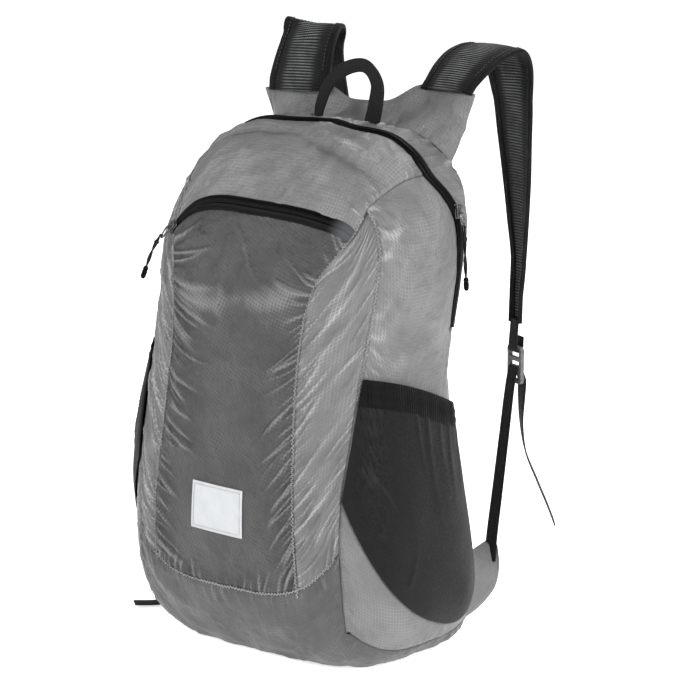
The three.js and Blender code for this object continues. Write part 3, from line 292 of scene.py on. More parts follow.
# across, lean, up
HANDLE = (
    (-0.5, 0.0, 0.0),
    (-0.47, 0.02, 0.21),
    (-0.33, 0.065, 0.62),
    (-0.03, 0.087, 0.92),
    (0.34, 0.087, 1.0),
    (0.56, 0.065, 0.72),
    (0.56, 0.02, 0.3),
    (0.51, 0.0, 0.0),
)
HANDLE_WIDTHS = ((0, 0.12, 0.4, 0.62, 0.8, 1), (0.5, 0.62, 0.72, 0.7, 0.9, 0.95))
MAIN_SLIDER_AT = 1.24
POCKET_SLIDER_AT = -0.88
MAIN_CORD = (
    (0.1429, 0.054, 0.392),
    (0.1429, 0.054, 0.383),
    (0.1429, 0.0544, 0.373),
    (0.1429, 0.055, 0.363),
    (0.1429, 0.0556, 0.353),
    (0.1431, 0.056, 0.345),
)
POCKET_CORD = (
    (-0.1091, -0.0728, 0.3712),
    (-0.111, -0.0765, 0.3644),
    (-0.1128, -0.08, 0.3574),
    (-0.1142, -0.083, 0.3502),
    (-0.1154, -0.0856, 0.3428),
)

# How each edge of a panel is sewn: how deep it is drawn in, and its puckers' spacing, reach,
# height and direction (degrees in the panel, 0 to the right and 90 up), which may change along
# the edge: then it is pairs of a share of the edge and the degrees there.
SEWN = {
    "pocket": {
        "left": (0.0026, 0.0088, 0.06, 0.0046, ((0.0, -8), (0.8, -16), (0.92, 36))),
        "right": (0.0026, 0.0075, 0.044, 0.0036,
                  ((0.0, 228), (0.3, 216), (0.72, 202), (0.86, 128))),
        "foot": (0.0026, 0.008, 0.03, 0.003, 76),
        "head": (0.0008, 0.03, 0.02, 0.0006, -80),
    },
    "upper": {
        "left": (0.002, 0.011, 0.03, 0.0018, 30),
        "right": (0.0022, 0.0095, 0.03, 0.0022, 150),
        "foot": (0.0008, 0.03, 0.02, 0.0006, 80),
        "head": (0.0008, 0.02, 0.025, 0.001, -80),
    },
    "gore": {
        "left": (0.0026, 0.0084, 0.052, 0.0036,
                 ((0.0, 10), (0.2, 24), (0.55, 34), (0.75, 56), (1.0, 64))),
        "right": (0.0026, 0.0082, 0.03, 0.0026, ((0.0, 200), (0.6, 214), (1.0, 232))),
        "foot": (0.0024, 0.008, 0.026, 0.0024, 74),
        "head": (0.0, 0, 0, 0, 0),
    },
    "side": {
        "left": (0.0026, 0.0078, 0.034, 0.0017, ((0.0, -20), (0.55, -14), (0.7, 38), (1.0, 56))),
        "right": (0.0012, 0.018, 0.02, 0.0008, 200),
        "foot": (0.002, 0.015, 0.02, 0.0012, 80),
        "head": (0.0, 0, 0, 0, 0),
    },
    "gusset": {
        "left": (0.001, 0.015, 0.02, 0.001, 0),
        "right": (0.001, 0.015, 0.02, 0.001, 180),
        "foot": (0.0008, 0.014, 0.03, 0.0018, 80),
        "head": (0.0022, 0.0105, 0.03, 0.0024, -85),
    },
    "base": {
        "left": (0.0022, 0.011, 0.024, 0.002, 10),
        "right": (0.0022, 0.011, 0.024, 0.002, 170),
        "foot": (0.0024, 0.0095, 0.022, 0.0019, 80),
        "head": (0.002, 0.0105, 0.02, 0.0016, -80),
    },
    "back": {
        "left": (0.0022, 0.0105, 0.034, 0.0024, 25),
        "right": (0.0022, 0.0105, 0.034, 0.0024, 155),
        "foot": (0.002, 0.0105, 0.025, 0.002, 80),
        "head": (0.0022, 0.0105, 0.032, 0.0024, -80),
    },
}
CURLS = {"gore": 0.45}  # how far a panel's puckers curve upwards as they run out
TUCK_REACH = 0.0055
RUN_ON = 0.0009  # how far a panel's edge runs on under its neighbour
# how fine each panel's mesh is
CLOTH_PITCHES = {
    "pocket": 0.00135,
    "upper": 0.0017,
    "gore": 0.0015,
    "side": 0.0018,
    "gusset": 0.002,
    "back": 0.0023,
    "base": 0.0022,
}
GATHER_PITCH = 0.0046
GATHER_SHARE = 0.22  # of the puckers' height
# The cloth's finish paints the crest: lighter on the tops of creases and folds as a painted
# highlight, darker in their valleys as painted shade.
CREST_HEIGHT = 0.0028  # creases of this height have a full crest
FOLD_CREST = 0.42  # the share of a fold's height that counts for its crest
SMALL_RUMPLE = 0.0013
FINE_RUMPLE = 0.00025
SWELL = 0.001
RIPSTOP_LINE = 0.0007
WEAVE_PITCH = 0.0009
STITCH_RADIUS = 0.0003
STITCH_INSET = 0.0064
ZIGZAG_WIDTH = 0.0032
ZIGZAG_PITCH = 0.0036
ZIGZAG_RADIUS = 0.00034
ZIGZAG_LIFT = -0.0001

# The mesh pockets' creases: where they start (across, up), their direction, length, width and
# height, in degrees and metres.
MESH_CREASES = (
    (0.4, 1.0, -84, 0.07, 0.004, 0.0012),
    (0.5, 1.0, -88, 0.11, 0.005, 0.0014),
    (0.62, 1.0, -92, 0.06, 0.004, 0.0012),
    (0.72, 1.0, -95, 0.09, 0.004, 0.0013),
    (0.84, 1.0, -98, 0.06, 0.004, 0.0012),
    (0.02, 0.9, -12, 0.05, 0.0022, 0.0011),
    (0.02, 0.78, 14, 0.045, 0.002, 0.001),
    (0.03, 0.66, 24, 0.05, 0.0022, 0.0011),
    (0.04, 0.58, 20, 0.06, 0.0022, 0.001),
    (0.05, 0.5, 34, 0.045, 0.002, 0.0011),
    (0.1, 0.36, 42, 0.06, 0.0024, 0.0012),
    (0.2, 0.24, 50, 0.06, 0.0026, 0.0012),
    (0.34, 0.12, 62, 0.07, 0.003, 0.0013),
)

# Folds: from (across, up) to (across, up) as shares of the panel, bend, width and height in mm.
FOLDS = {
    "pocket": (
        (-0.02, 0.86, 0.56, 0.765, -7, 12, 4.6),
        (0.5, 0.765, 1.02, 0.85, -6, 13, 4.8),
        (0.02, 0.82, 0.5, 0.73, -5, 6, 1.2),
        (0.5, 0.72, 0.98, 0.76, -4, 6, 1.4),
        (0.0, 0.9, 0.3, 0.93, 3, 8, 1.6),
        (0.4, 0.98, 0.62, 0.82, 3, 4, 1.8),
        (0.0, 0.71, 0.26, 0.6, 2, 5, 3.4),
        (0.0, 0.56, 0.2, 0.47, 2, 4.5, 3.0),
        (0.8, 0.58, 1.0, 0.65, 2, 3, 2.4),
        (0.72, 0.38, 1.0, 0.53, 3, 3, 2.2),
        (0.68, 0.24, 1.0, 0.43, 3, 3, 2.4),
        (0.74, 0.12, 1.0, 0.27, 2, 3, 2.2),
        (0.0, 0.4, 0.16, 0.33, 2, 4, 2.4),
        (0.55, 0.02, 0.72, 0.2, 3, 5, 1.8),
        (0.2, 0.02, 0.32, 0.13, 2, 5, 1.6),
    ),
    "upper": (
        (-0.02, 0.6, 0.52, 0.52, -4, 5, -3.4),
        (0.46, 0.54, 1.0, 0.4, -3, 5, -3.4),
        (0.02, 0.7, 0.5, 0.62, -4, 5, 3.0),
        (0.5, 0.64, 0.98, 0.5, -2, 5, 3.0),
        (0.06, 0.2, 0.4, 0.34, 3, 6, 1.4),
        (0.8, 0.9, 0.98, 0.6, 2, 5, 1.4),
    ),
    "gore": (
        (0.0, 0.42, 0.7, 0.66, 3, 6, 2.8),
        (0.05, 0.52, 0.8, 0.78, 3, 5, 2.8),
        (0.15, 0.36, 1.0, 0.6, 3, 5, 2.4),
        (0.3, 0.64, 0.75, 0.88, 2, 5, 2.8),
        (0.05, 0.24, 0.9, 0.42, 2, 5, 2.2),
        (0.1, 0.12, 0.9, 0.27, 2, 5, 2.2),
        (0.1, 0.02, 0.8, 0.14, 2, 5, 1.8),
    ),
    "side": (
        (0.0, 0.78, 0.32, 0.95, 2, 4, 2.2),
        (0.02, 0.7, 0.4, 0.87, 2, 5, 2.2),
        (0.05, 0.62, 0.46, 0.8, 3, 6, 1.8),
        (0.0, 0.54, 0.36, 0.64, 2, 5, 1.6),
        (0.3, 0.6, 0.9, 0.68, 3, 12, 2.0),
        (0.42, 0.94, 0.62, 0.8, 2, 9, 1.4),
    ),
    "gusset": (
        (0.24, 0.1, 0.3, 0.9, 3, 6, 1.8),
        (0.36, 0.9, 0.42, 0.3, 3, 6, 1.6),
        (0.62, 0.1, 0.68, 0.8, 3, 6, 1.8),
        (0.74, 0.9, 0.8, 0.3, 3, 6, 1.6),
    ),
    "base": (
        (0.1, 0.1, 0.4, 0.2, 3, 7, 1.6),
        (0.55, 0.22, 0.9, 0.1, 3, 7, 1.6),
    ),
    "back": (
        (0.0, 0.8, 0.9, 0.72, -8, 12, 1.5),
        (0.1, 0.5, 1.0, 0.56, 6, 12, 1.4),
        (0.2, 0.3, 1.0, 0.24, -6, 12, 1.5),
        (0.0, 0.66, 0.4, 0.6, 4, 8, 1.2),
        (0.6, 0.42, 1.0, 0.46, 4, 8, 1.2),
    ),
}


def linear(level, warmth=0.0):
    """A grey of 0 to 255, as seen on a screen, as Blender's colour."""
    value = (level / 255) ** 2.2
    return (value * (1 + warmth), value, value * (1 - warmth), 1.0)


# Places on the body


def table_value(rows, column, at):
    """A table's column at some places, on one smooth curve through its rows."""
    table = np.array(rows)
    keys, values = table[:, 0], table[:, column]
    last = len(keys) - 1
    place = np.clip(at, keys[0], keys[-1])
    i = np.clip(np.searchsorted(keys, place, side="left") - 1, 0, last - 1)
    low = np.maximum(np.arange(last + 1) - 1, 0)
    high = np.minimum(np.arange(last + 1) + 1, last)
    slope = (values[high] - values[low]) / (keys[high] - keys[low])
    span = keys[i + 1] - keys[i]
    u = (place - keys[i]) / span
    ends = (2 * u**3 - 3 * u**2 + 1) * values[i] + (3 * u**2 - 2 * u**3) * values[i + 1]
    leave = (u**3 - 2 * u**2 + u) * slope[i] * span
    return ends + leave + (u**3 - u**2) * slope[i + 1] * span


def mix(a, b, share):
    return a + (b - a) * share


def length_of(v):
    return np.sqrt((v**2).sum(-1))


def unit(v):
    return v / np.maximum(length_of(v), 1e-12)[..., None]


def run_of(points):
    """How far along a line each of its points lies."""
    return np.concatenate([[0], np.cumsum(length_of(np.diff(points, axis=0)))])


def at_distance(place, steps, values):
    """What the values of a line are at a distance along it."""
    return np.array([np.interp(place, steps, column) for column in values.T])


def smooth(low, high, at):
    """0 under low, 1 over high, and a smooth step between them."""
    x = np.clip((at - low) / (high - low), 0, 1)
    return x * x * (3 - 2 * x)


def skin(x, y, z):
    """The body's surface: points of a cube, pressed onto a rounded box and its sections."""
    x, y, z = np.broadcast_arrays(*(np.asarray(a, float) for a in (x, y, z)))
    around = (np.abs(x) ** CORNER_POWER + np.abs(y) ** CORNER_POWER) ** (1 / CORNER_POWER)
    foot = mix(CROWN_POWER, FOOT_POWER, np.clip(-2 * z, 0, 1))
    power = np.where(z > 0, CROWN_POWER, foot)
    size = (around**power + np.abs(z) ** power) ** (1 / power)
    share = (z / size + 1) / 2
    front = table_value(SECTIONS, 2, share) * BODY_HALF_DEPTH
    back = table_value(SECTIONS, 3, share) * BODY_HALF_DEPTH
    wide = x / size * table_value(SECTIONS, 1, share) * BODY_HALF_WIDTH
    deep = (back - front) / 2 + (y / size * (back + front)) / 2
    high = np.maximum(0, share * (BODY_HEIGHT + BASE_SINK) - BASE_SINK)
    return np.stack([wide, deep, high], -1)


def meridian(across, along):
    """Up the front, over the top (2 in its middle) and down the back, or under the base."""
    across, along = np.broadcast_arrays(np.asarray(across, float), np.asarray(along, float))
    parts = [along > 3, along > 1, along < -1]
    y = np.select(parts, [1.0, along - 2, -along - 2], -1.0)
    z = np.select(parts, [4 - along, 1.0, -1.0], along)
    return skin(across, y, z)


def arch(across, back):
    """Over the top and down both sides."""
    across, back = np.broadcast_arrays(np.asarray(across, float), np.asarray(back, float))
    far = np.abs(across)
    return skin(np.where(far <= 1, across, np.sign(across)), back, np.where(far <= 1, 1.0, 2 - far))


def ring(around, up):
    """Round the body from the middle of the front."""
    around, up = np.broadcast_arrays(np.asarray(around, float), np.asarray(up, float))
    far, side = np.abs(around), np.sign(around)
    x = np.select([far <= 1, far <= 3], [around, side], side * (4 - far))
    y = np.select([far <= 1, far <= 3], [-1.0, far - 2], 1.0)
    return skin(x, y, up)


def outward(chart, u, v):
    """The outward normals of a chart."""
    along_u = chart(u + NUDGE, v) - chart(u - NUDGE, v)
    along_v = chart(u, v + NUDGE) - chart(u, v - NUDGE)
    normal = unit(np.cross(along_u, along_v))
    away = chart(u, v) - np.array([0, 0, BODY_HEIGHT / 2])
    return normal * np.where((normal * away).sum(-1) < 0, -1.0, 1.0)[..., None]


def shift_u(chart, u, v, metres):
    step = math.copysign(NUDGE, metres)
    return u + step * abs(metres) / length_of(chart(u, v) - chart(u + step, v))


def shift_v(chart, u, v, metres):
    step = math.copysign(NUDGE, metres)
    return v + step * abs(metres) / length_of(chart(u, v) - chart(u, v + step))


def settle(s, t, edges, ends):
    """Places between four seams that lean on each other."""
    u, v = 2 * s - 1, 0 * t
    for _ in range(6):
        v = mix(*ends(u), t)
        u = mix(*edges(v), s)
    return u, v


def front_seam(up, side):
    return table_value(FRONT_SEAM, 1 if side < 0 else 2, up)


def side_seam(up):
    return table_value(SIDE_SEAM, 1, up)


def foot_seam(across):
    return table_value(FOOT_SEAM, 1, across)


def back_seam(across):
    return table_value(BACK_SEAM, 1, np.abs(across))


def main_zip(across, side):
    """The main zip's middle (0), lower edge (-1) or upper edge (1)."""
    back = table_value(MAIN_ZIP, 1, np.abs(across))
    return shift_v(arch, across, back, side * MAIN_ZIP_WIDTH / 2) if side else back


def pocket_zip(across, side):
    up = table_value(POCKET_ZIP, 1, across)
    return shift_v(meridian, across, up, side * POCKET_ZIP_WIDTH / 2) if side else up


def zip_end(back):
    start = main_zip(MAIN_ZIP_END, -1)
    return MAIN_ZIP_END + ZIP_END_SLANT * np.maximum(0, back - start) / (1 - start)


def front_edges(along):
    return [side * front_seam(along, side) for side in (-1, 1)]


def upper_place(s, t):
    def ends(across):
        low = shift_v(meridian, across, pocket_zip(across, 1), -UNDER_ZIP)
        return low, shift_v(meridian, across, 2 + main_zip(across, -1), UNDER_ZIP)

    return settle(s, t, front_edges, ends)


def pocket_place(s, t):
    def ends(across):
        return foot_seam(across), shift_v(meridian, across, pocket_zip(across, -1), UNDER_ZIP)

    return settle(s, t, front_edges, ends)


def gore_place(side):
    def place(s, t):
        def ends(around):
            return foot_seam(around), 0.992 + 0 * around

        def edges(up):
            both = [side * front_seam(up, side), side * side_seam(up)]
            return both if side > 0 else both[::-1]

        return settle(s, t, edges, ends)

    return place


SIDE_ROWS = (
    (0, -1),
    (10 / 18, 2 - MAIN_ZIP_END - ZIP_END_SLANT),
    (12 / 18, 2 - MAIN_ZIP_END),
    (1, 0.996),
)


def side_rear(across):
    start = main_zip(MAIN_ZIP_END, -1)
    share = (across - MAIN_ZIP_END) / ZIP_END_SLANT
    under = np.where(share < 1, mix(start, 1, share), 1)
    return np.where(across < MAIN_ZIP_END, main_zip(across, -1), under)


def side_place(side):
    def place(s, t):
        up = table_value(SIDE_ROWS, 1, t)
        both = [side * side_seam(up), side * (2 + side_rear(2 - up))]
        start, end = both if side > 0 else both[::-1]
        return mix(start, end, s), up

    return place


def gusset_place(s, t):
    def ends(across):
        return shift_v(arch, across, main_zip(across, 1), -UNDER_ZIP), back_seam(across)

    def edges(back):
        return [side * zip_end(back) for side in (-1, 1)]

    return settle(s, t, edges, ends)


def base_place(s, t):
    under = (t - FRONT_ROWS) / (1 - FRONT_ROWS)
    across = 2 * s - 1
    for _ in range(6):
        front = mix(foot_seam(across), -1, t / FRONT_ROWS)
        along = np.where(under < 0, front, mix(-1, -3, under))
        out = np.clip(-1 - along, 0, BASE_CORNER) / BASE_CORNER
        edge = mix(np.minimum(1, side_seam(np.maximum(-1, along))), 1, out)
        across = (2 * s - 1) * edge
    return across, along


def back_place(s, t):
    across = 2 * s - 1
    return across, mix(5.0, 2 + back_seam(across), t)


def main_zip_place(s, t):
    end = shift_u(arch, MAIN_ZIP_END, main_zip(MAIN_ZIP_END, 0), -ZIP_END_GAP)
    across = (2 * s - 1) * end
    return across, mix(main_zip(across, -1), main_zip(across, 1), t)


def pocket_zip_place(s, t):
    return settle(s, t, front_edges, lambda u: (pocket_zip(u, -1), pocket_zip(u, 1)))


def pocket_lift(s, share):
    front = np.sin(np.pi * np.clip(s, 0, 1)) ** POCKET_ROUND * mix(*POCKET_SWELLS, s)
    return POCKET_EDGE_LIFT + POCKET_FULLNESS * front * table_value(POCKET_SWELL, 1, share)


def mesh_place(s, share):
    foot = table_value(POCKET_OUTLINE, 1, s)
    mouth = table_value(POCKET_OUTLINE, 2, s)
    up = mix(foot, mouth, share)
    return mix(side_seam(up) + POCKET_FRONT, 2 + POCKET_BACK, s), up


def under_mouth(s, metres):
    foot = table_value(POCKET_OUTLINE, 1, s)
    around, mouth = mesh_place(s, 1)
    return (shift_v(ring, around, mouth, -metres) - foot) / (mouth - foot)


def yoke_foot(along):
    across = along * YOKE_SEAM_SHARE
    return arch(across, back_seam(across))


def yoke_top(along):
    spread, lean, rise = (table_value(YOKE, k, along) * YOKE_HEIGHT for k in (1, 2, 3))
    x = along * YOKE_HALF_WIDTH + spread
    y = yoke_foot(along)[..., 1] + lean
    return np.stack([x, y, BODY_HEIGHT - YOKE_DROP + rise + 0 * x], -1)


def back_edge(side, up):
    under = np.maximum(0, -1 - up)
    return skin(side * (1 - under), 1 - under, np.maximum(-1, up))


# Lines and bands


def curve_point(points, t):
    """Points on a centripetal curve through the given ones."""
    points = np.asarray(points, float)
    last = len(points) - 1
    t = np.clip(t, 0, 1) * last
    i = np.minimum(t.astype(int), last - 1)
    w = (t - i)[..., None]
    row = np.vstack([2 * points[0] - points[1], points, 2 * points[-1] - points[-2]])
    p0, p1, p2, p3 = row[i], row[i + 1], row[i + 2], row[i + 3]
    d0, d1, d2 = (np.sqrt(length_of(b - a))[..., None] for a, b in ((p0, p1), (p1, p2), (p2, p3)))
    t1 = ((p1 - p0) / d0 - (p2 - p0) / (d0 + d1) + (p2 - p1) / d1) * d1
    t2 = ((p2 - p1) / d1 - (p3 - p1) / (d1 + d2) + (p3 - p2) / d2) * d1
    third = -3 * p1 + 3 * p2 - 2 * t1 - t2
    return p1 + t1 * w + third * w**2 + (2 * p1 - 2 * p2 + t1 + t2) * w**3


def tangent(points, t):
    t = np.asarray(t, float)
    return unit(curve_point(points, t + 1e-4) - curve_point(points, t - 1e-4))


def band_path(rows, t):
    """The middle, side direction, face and width of a band of x, y, z, width, turn rows."""
    rows = np.asarray(rows, float)
    t = np.asarray(t, float)
    last = len(rows) - 1
    i = np.minimum((t * last).astype(int), last - 1)
    share = t * last - i
    turn = np.radians(mix(rows[i, 4], rows[i + 1, 4], share))
    way = tangent(rows[:, :3], t)
    across = np.stack([np.cos(turn), np.sin(turn), 0 * turn], -1)
    across = unit(across - way * (across * way).sum(-1)[..., None])
    out = unit(np.cross(across, way))
    return curve_point(rows[:, :3], t), across, out, mix(rows[i, 3], rows[i + 1, 3], share)


def strap_rows(side):
    root = yoke_top(np.float64(side * STRAP_ALONG))
    return [
        (*(root + np.array([right, back, up]) * STRAP_REACH), width, turn)
        for right, back, up, width, turn in STRAPS[side]
    ]


def sewn_rows(rows, depth, back):
    """A band's rows, with its first end run on by a depth to where it is sewn."""
    first, second = np.array(rows[0]), np.array(rows[1])
    way = unit(second[:3] - first[:3])
    start = first[:3] - way * depth + np.array([0, back, 0])
    return [(*start, *rows[0][3:]), *rows]


def lock_of(side):
    foot = strap_rows(side)[-1]
    middle = np.array([foot[0], foot[1] + LOCK_SET_BACK, foot[2] - LOCK_DROP])
    turn = math.radians(-side * LOCK_TURN)
    across = np.array([math.cos(turn), math.sin(turn), 0])
    up = np.array([0.0, 0, 1])
    return {"middle": middle, "across": across, "up": up, "out": np.cross(up, across)}


def lock_bar(index):
    return (LOCK_HEIGHT - LOCK_BAR) / 2 - index * (LOCK_BAR + LOCK_SLOT)


def round_bar(side, bar, sign):
    lock = lock_of(side)
    reach = (LOCK_THICKNESS + WEBBING_THICKNESS) / 2 + LOCK_PLAY
    tip = (LOCK_BAR + WEBBING_THICKNESS) / 2 + LOCK_PLAY
    rows = []
    for angle in BAR_TURNS:
        c, s = math.cos(math.radians(angle)), math.sin(math.radians(angle))
        p = lock["middle"] + lock["out"] * reach * math.copysign(math.sqrt(abs(c)), c)
        p = p + lock["up"] * (lock_bar(bar) + sign * tip * math.sqrt(abs(s)))
        rows.append((*p, 1, -side * LOCK_TURN))
    return rows


def tab_rows(side):
    foot, lock = strap_rows(side)[-1], lock_of(side)
    above = (LOCK_THICKNESS + WEBBING_THICKNESS) / 2 + LOCK_PLAY + 0.0004
    end = lock["middle"] + lock["up"] * (LOCK_HEIGHT / 2 + 0.009) + lock["out"] * above
    start = (foot[0], foot[1], foot[2] + 0.004, 1, foot[4])
    return [start, *round_bar(side, TAB_BAR, -1), (*end, 1, -side * LOCK_TURN)]


def web_foot(side):
    across, back, up, turn = WEB_FOOT
    spot = (side * across * BODY_HALF_WIDTH, back * BODY_HALF_DEPTH, up * BODY_HEIGHT)
    return np.array(spot), -side * turn


def webbing_rows(side):
    foot, turn = web_foot(side)
    x, y, z = lock_of(side)["middle"]
    below = np.array([x, y - WEB_BEHIND, z - WEB_BELOW])
    rise = [(*mix(foot, below, w), 1, mix(turn, -side * LOCK_TURN, w)) for w in WEB_RISE]
    tail = [(x + right * z, y + back * z, up * z, 1, t) for right, back, up, t in TAILS[side]]
    return [*rise, *round_bar(side, WEB_BAR, 1), *tail]


# Cloth


def hashed(i, j, seed):
    n = np.sin(i * 127.1 + j * 311.7 + seed * 74.7) * 43758.5453
    return (n - np.floor(n)) * 2 - 1


def noise(x, y, seed):
    """Smooth noise of -1 to 1 with a step of 1."""
    i, j = np.floor(x), np.floor(y)
    u, v = x - i, y - j
    u, v = u * u * (3 - 2 * u), v * v * (3 - 2 * v)
    low = mix(hashed(i, j, seed), hashed(i + 1, j, seed), u)
    return mix(low, mix(hashed(i, j + 1, seed), hashed(i + 1, j + 1, seed), u), v)


def crumple(x, y, seed, size):
    """Sharp small creases, as thin nylon takes them, of about -1 to 1."""
    total, part = 0 * x, 1.0
    for k in range(3):
        f = 2.1**k / size
        wx = x * f + 0.8 * noise(x * f * 0.6, y * f * 0.6, seed + 11)
        wy = y * f + 0.8 * noise(x * f * 0.6, y * f * 0.6, seed + 23)
        total = total + part * (0.5 - 1.6 * np.abs(noise(wx, wy, seed + k)))
        part *= 0.45
    return total


def crease(x, y, start, direction, length, width, height, hook):
    """A fold that starts sharp at a seam and fades as it runs out."""
    c, s = math.cos(direction), math.sin(direction)
    along = ((x - start[0]) * c + (y - start[1]) * s) / length
    side = (y - start[1]) * c - (x - start[0]) * s + hook * length * along**2
    wide = width * (0.6 + 0.9 * np.clip(along, 0, 1))
    fade = smooth(-0.06, 0.06, along) * (1 - smooth(0.2, 1.0, along))
    ridge = np.exp(-np.abs(side / wide) ** 1.5) - 0.32 * np.exp(-((side / wide / 2.3) ** 2))
    return height * fade * ridge


def fold(x, y, start, end, bend, width, height):
    """A long fold between two places, which fades at both."""
    way = end - start
    length = math.hypot(*way)
    c, s = way / length
    along = ((x - start[0]) * c + (y - start[1]) * s) / length
    at = np.clip(along, 0, 1)
    side = (y - start[1]) * c - (x - start[0]) * s - bend * 4 * at * (1 - at)
    taper = np.sin(np.pi * np.clip(along * 0.9 + 0.05, 0, 1)) ** 0.8
    over = smooth(-0.08, 0.05, along) * (1 - smooth(0.95, 1.08, along))
    return height * taper * over * np.exp(-np.abs(side / width) ** 1.6)


def lay_flat(points):
    """The cloth's own coordinates, in metres, of a grid of rows and columns."""
    wide = np.cumsum(length_of(np.diff(points, axis=1)), axis=1)
    high = np.cumsum(length_of(np.diff(points, axis=0)), axis=0)
    x = np.pad(wide, ((0, 0), (1, 0)))
    y = np.pad(high, ((1, 0), (0, 0)))
    return x - x[:, x.shape[1] // 2][:, None], y


def puckers(x, y, line, spec, seed, turned, curl):
    """The creases along one sewn edge of a panel."""
    _, spacing, reach, height, direction = spec
    pairs = direction if isinstance(direction, tuple) else ((0.0, direction),)
    if not spacing:
        return 0 * x
    random = np.random.default_rng(seed)
    steps = run_of(line)
    total, place = 0 * x, spacing * random.uniform(0.2, 0.9)
    while place < steps[-1]:
        start = at_distance(place, steps, line)
        size = 0.4 + 0.95 * random.random() ** 1.5
        angle = np.interp(place / steps[-1], *zip(*pairs)) + random.uniform(-12, 12)
        angle = math.radians(180 - angle if turned else angle)
        hook = random.uniform(-0.12, 0.12) - random.random() * curl * (-1 if turned else 1)
        long = reach * size * random.uniform(0.7, 1.3)
        wide = 0.0013 + 0.0017 * size * random.random()
        total = total + crease(x, y, start, angle, long, wide, height * size**0.5, hook)
        place += spacing * random.uniform(0.55, 1.45)
    return total


def wrinkles(kind, x, y, seed, turned):
    """How far a panel's cloth stands off the body, in metres, and its creases' crests, -1 to 1,
    which the finish paints as highlight and shade.
    """
    rows, columns = x.shape
    lines = {
        "left": np.stack([x[:, 0], y[:, 0]], -1),
        "right": np.stack([x[:, -1], y[:, -1]], -1),
        "foot": np.stack([x[0], y[0]], -1),
        "head": np.stack([x[-1], y[-1]], -1),
    }
    near = {
        "left": x - x[:, :1],
        "right": x[:, -1:] - x,
        "foot": y - y[:1],
        "head": y[-1:] - y,
    }
    swap = {"left": "right", "right": "left"} if turned else {}
    lift, creased = 0 * x, 0 * x
    for edge, line in lines.items():
        spec = SEWN[kind][swap.get(edge, edge)]
        curl = CURLS.get(kind, 0.0)
        creased = creased + puckers(x, y, line, spec, seed + ord(edge[0]), turned, curl)
        run = y if edge in ("left", "right") else x
        phase = run / GATHER_PITCH + 1.2 * noise(run / 0.011, near[edge] / 0.03, seed + 5)
        gather = np.sin(2 * np.pi * phase) * np.exp(-near[edge] / 0.006)
        lift = lift + gather * spec[3] * GATHER_SHARE
    crest = 0 * x
    for a, b, c, d, bend, width, height in FOLDS[kind]:
        spots = []
        for across, up in ((a, b), (c, d)):
            across = 1 - across if turned else across
            across, up = min(max(across, 0.0), 1.0), min(max(up, 0.0), 1.0)
            i, j = round(up * (rows - 1)), round(across * (columns - 1))
            spots.append(np.array([x[i, j], y[i, j]]))
        bend = -bend if turned else bend
        made = fold(x, y, *spots, bend / 1000, width / 1000, height / 1000)
        lift, crest = lift + made, crest + FOLD_CREST * made
    small = crumple(x, y, seed, 0.03)
    # The crest for the painted highlights and shade: the creases and folds, with a little of the
    # crumple.
    crest = np.clip((creased + crest) / CREST_HEIGHT + 0.2 * small, -1, 1)
    fine = crumple(x, y, seed + 7, 0.011)
    swell = noise(x / 0.05, y / 0.04, seed + 2)
    lift = lift + creased + SMALL_RUMPLE * small + FINE_RUMPLE * fine + SWELL * swell
    edge_near = np.minimum.reduce(list(near.values()))
    lift = lift * (0.25 + 0.75 * smooth(0, 0.009, edge_near))
    for edge, distance in near.items():
        tuck = SEWN[kind][swap.get(edge, edge)][0]
        lift = lift - tuck * (1 - np.clip(distance / TUCK_REACH, 0, 1)) ** 2
    return lift, crest


# Meshes and pieces


def grid_mesh(name, columns, rows, place):
    """A grid laid out by place(s, t), which gives points, cloth coordinates and outsides.

    It may also give crests, which the finishes read.
    """
    bm = bmesh.new()
    bmesh.ops.create_grid(bm, x_segments=columns, y_segments=rows, size=0.5)
    mesh = bpy.data.meshes.new(name)
    bm.to_mesh(mesh)
    bm.free()
    co = np.empty(len(mesh.vertices) * 3)
    mesh.vertices.foreach_get("co", co)
    co = co.reshape(-1, 3)
    s, t = co[:, 0] + 0.5, co[:, 1] + 0.5
    order = np.lexsort((np.round(s * columns), np.round(t * rows)))
    shape = (rows + 1, columns + 1)
    points, flat, out, *crest = place(s[order].reshape(shape), t[order].reshape(shape))
    co[order] = points.reshape(-1, 3)
    cloth = np.empty((len(co), 2))
    cloth[order] = flat.reshape(-1, 2)
    mesh.vertices.foreach_set("co", co.ravel())
    face = np.cross(np.diff(points, axis=1)[:-1], np.diff(points, axis=0)[:, :-1])
    if (face * out[:-1, :-1]).sum() < 0:
        mesh.flip_normals()
    write_uv(mesh, cloth)
    if crest:
        values = np.empty(len(co))
        values[order] = crest[0].ravel()
        mesh.attributes.new("crest", "FLOAT", "POINT").data.foreach_set("value", values)
    shade(mesh)
    return mesh


def write_uv(mesh, cloth):
    layer = mesh.uv_layers.new(name="cloth")
    corner = np.empty(len(mesh.loops), int)
    mesh.loops.foreach_get("vertex_index", corner)
    layer.data.foreach_set("uv", cloth[corner].ravel())


def shade(mesh):
    mesh.polygons.foreach_set("use_smooth", np.ones(len(mesh.polygons), bool))
    mesh.update()


def put(mesh, finish, slot, *nodes):
    """A piece of the object, in place, on its body."""
    obj = bpy.data.objects.new(mesh.name, mesh)
    bpy.context.scene.collection.objects.link(obj)
    obj.data.materials.append(finish_of(finish))
    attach(obj, ROOT)
    if nodes:
        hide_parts(*nodes)
    return obj


def thicken(obj, thickness, offset=-1.0):
    wall = obj.modifiers.new("thickness", "SOLIDIFY")
    wall.thickness = thickness
    wall.offset = offset
    return obj


def panel_grid(chart, place, pitch):
    """How many columns and rows give squares of about that pitch."""
    s, t = np.meshgrid(np.linspace(0, 1, 21), np.linspace(0, 1, 21))
    points = chart(*place(s, t))
    wide = length_of(np.diff(points, axis=1)).sum(1).max()
    high = length_of(np.diff(points, axis=0)).sum(0).max()
    return max(4, round(wide / pitch)), max(4, round(high / pitch))


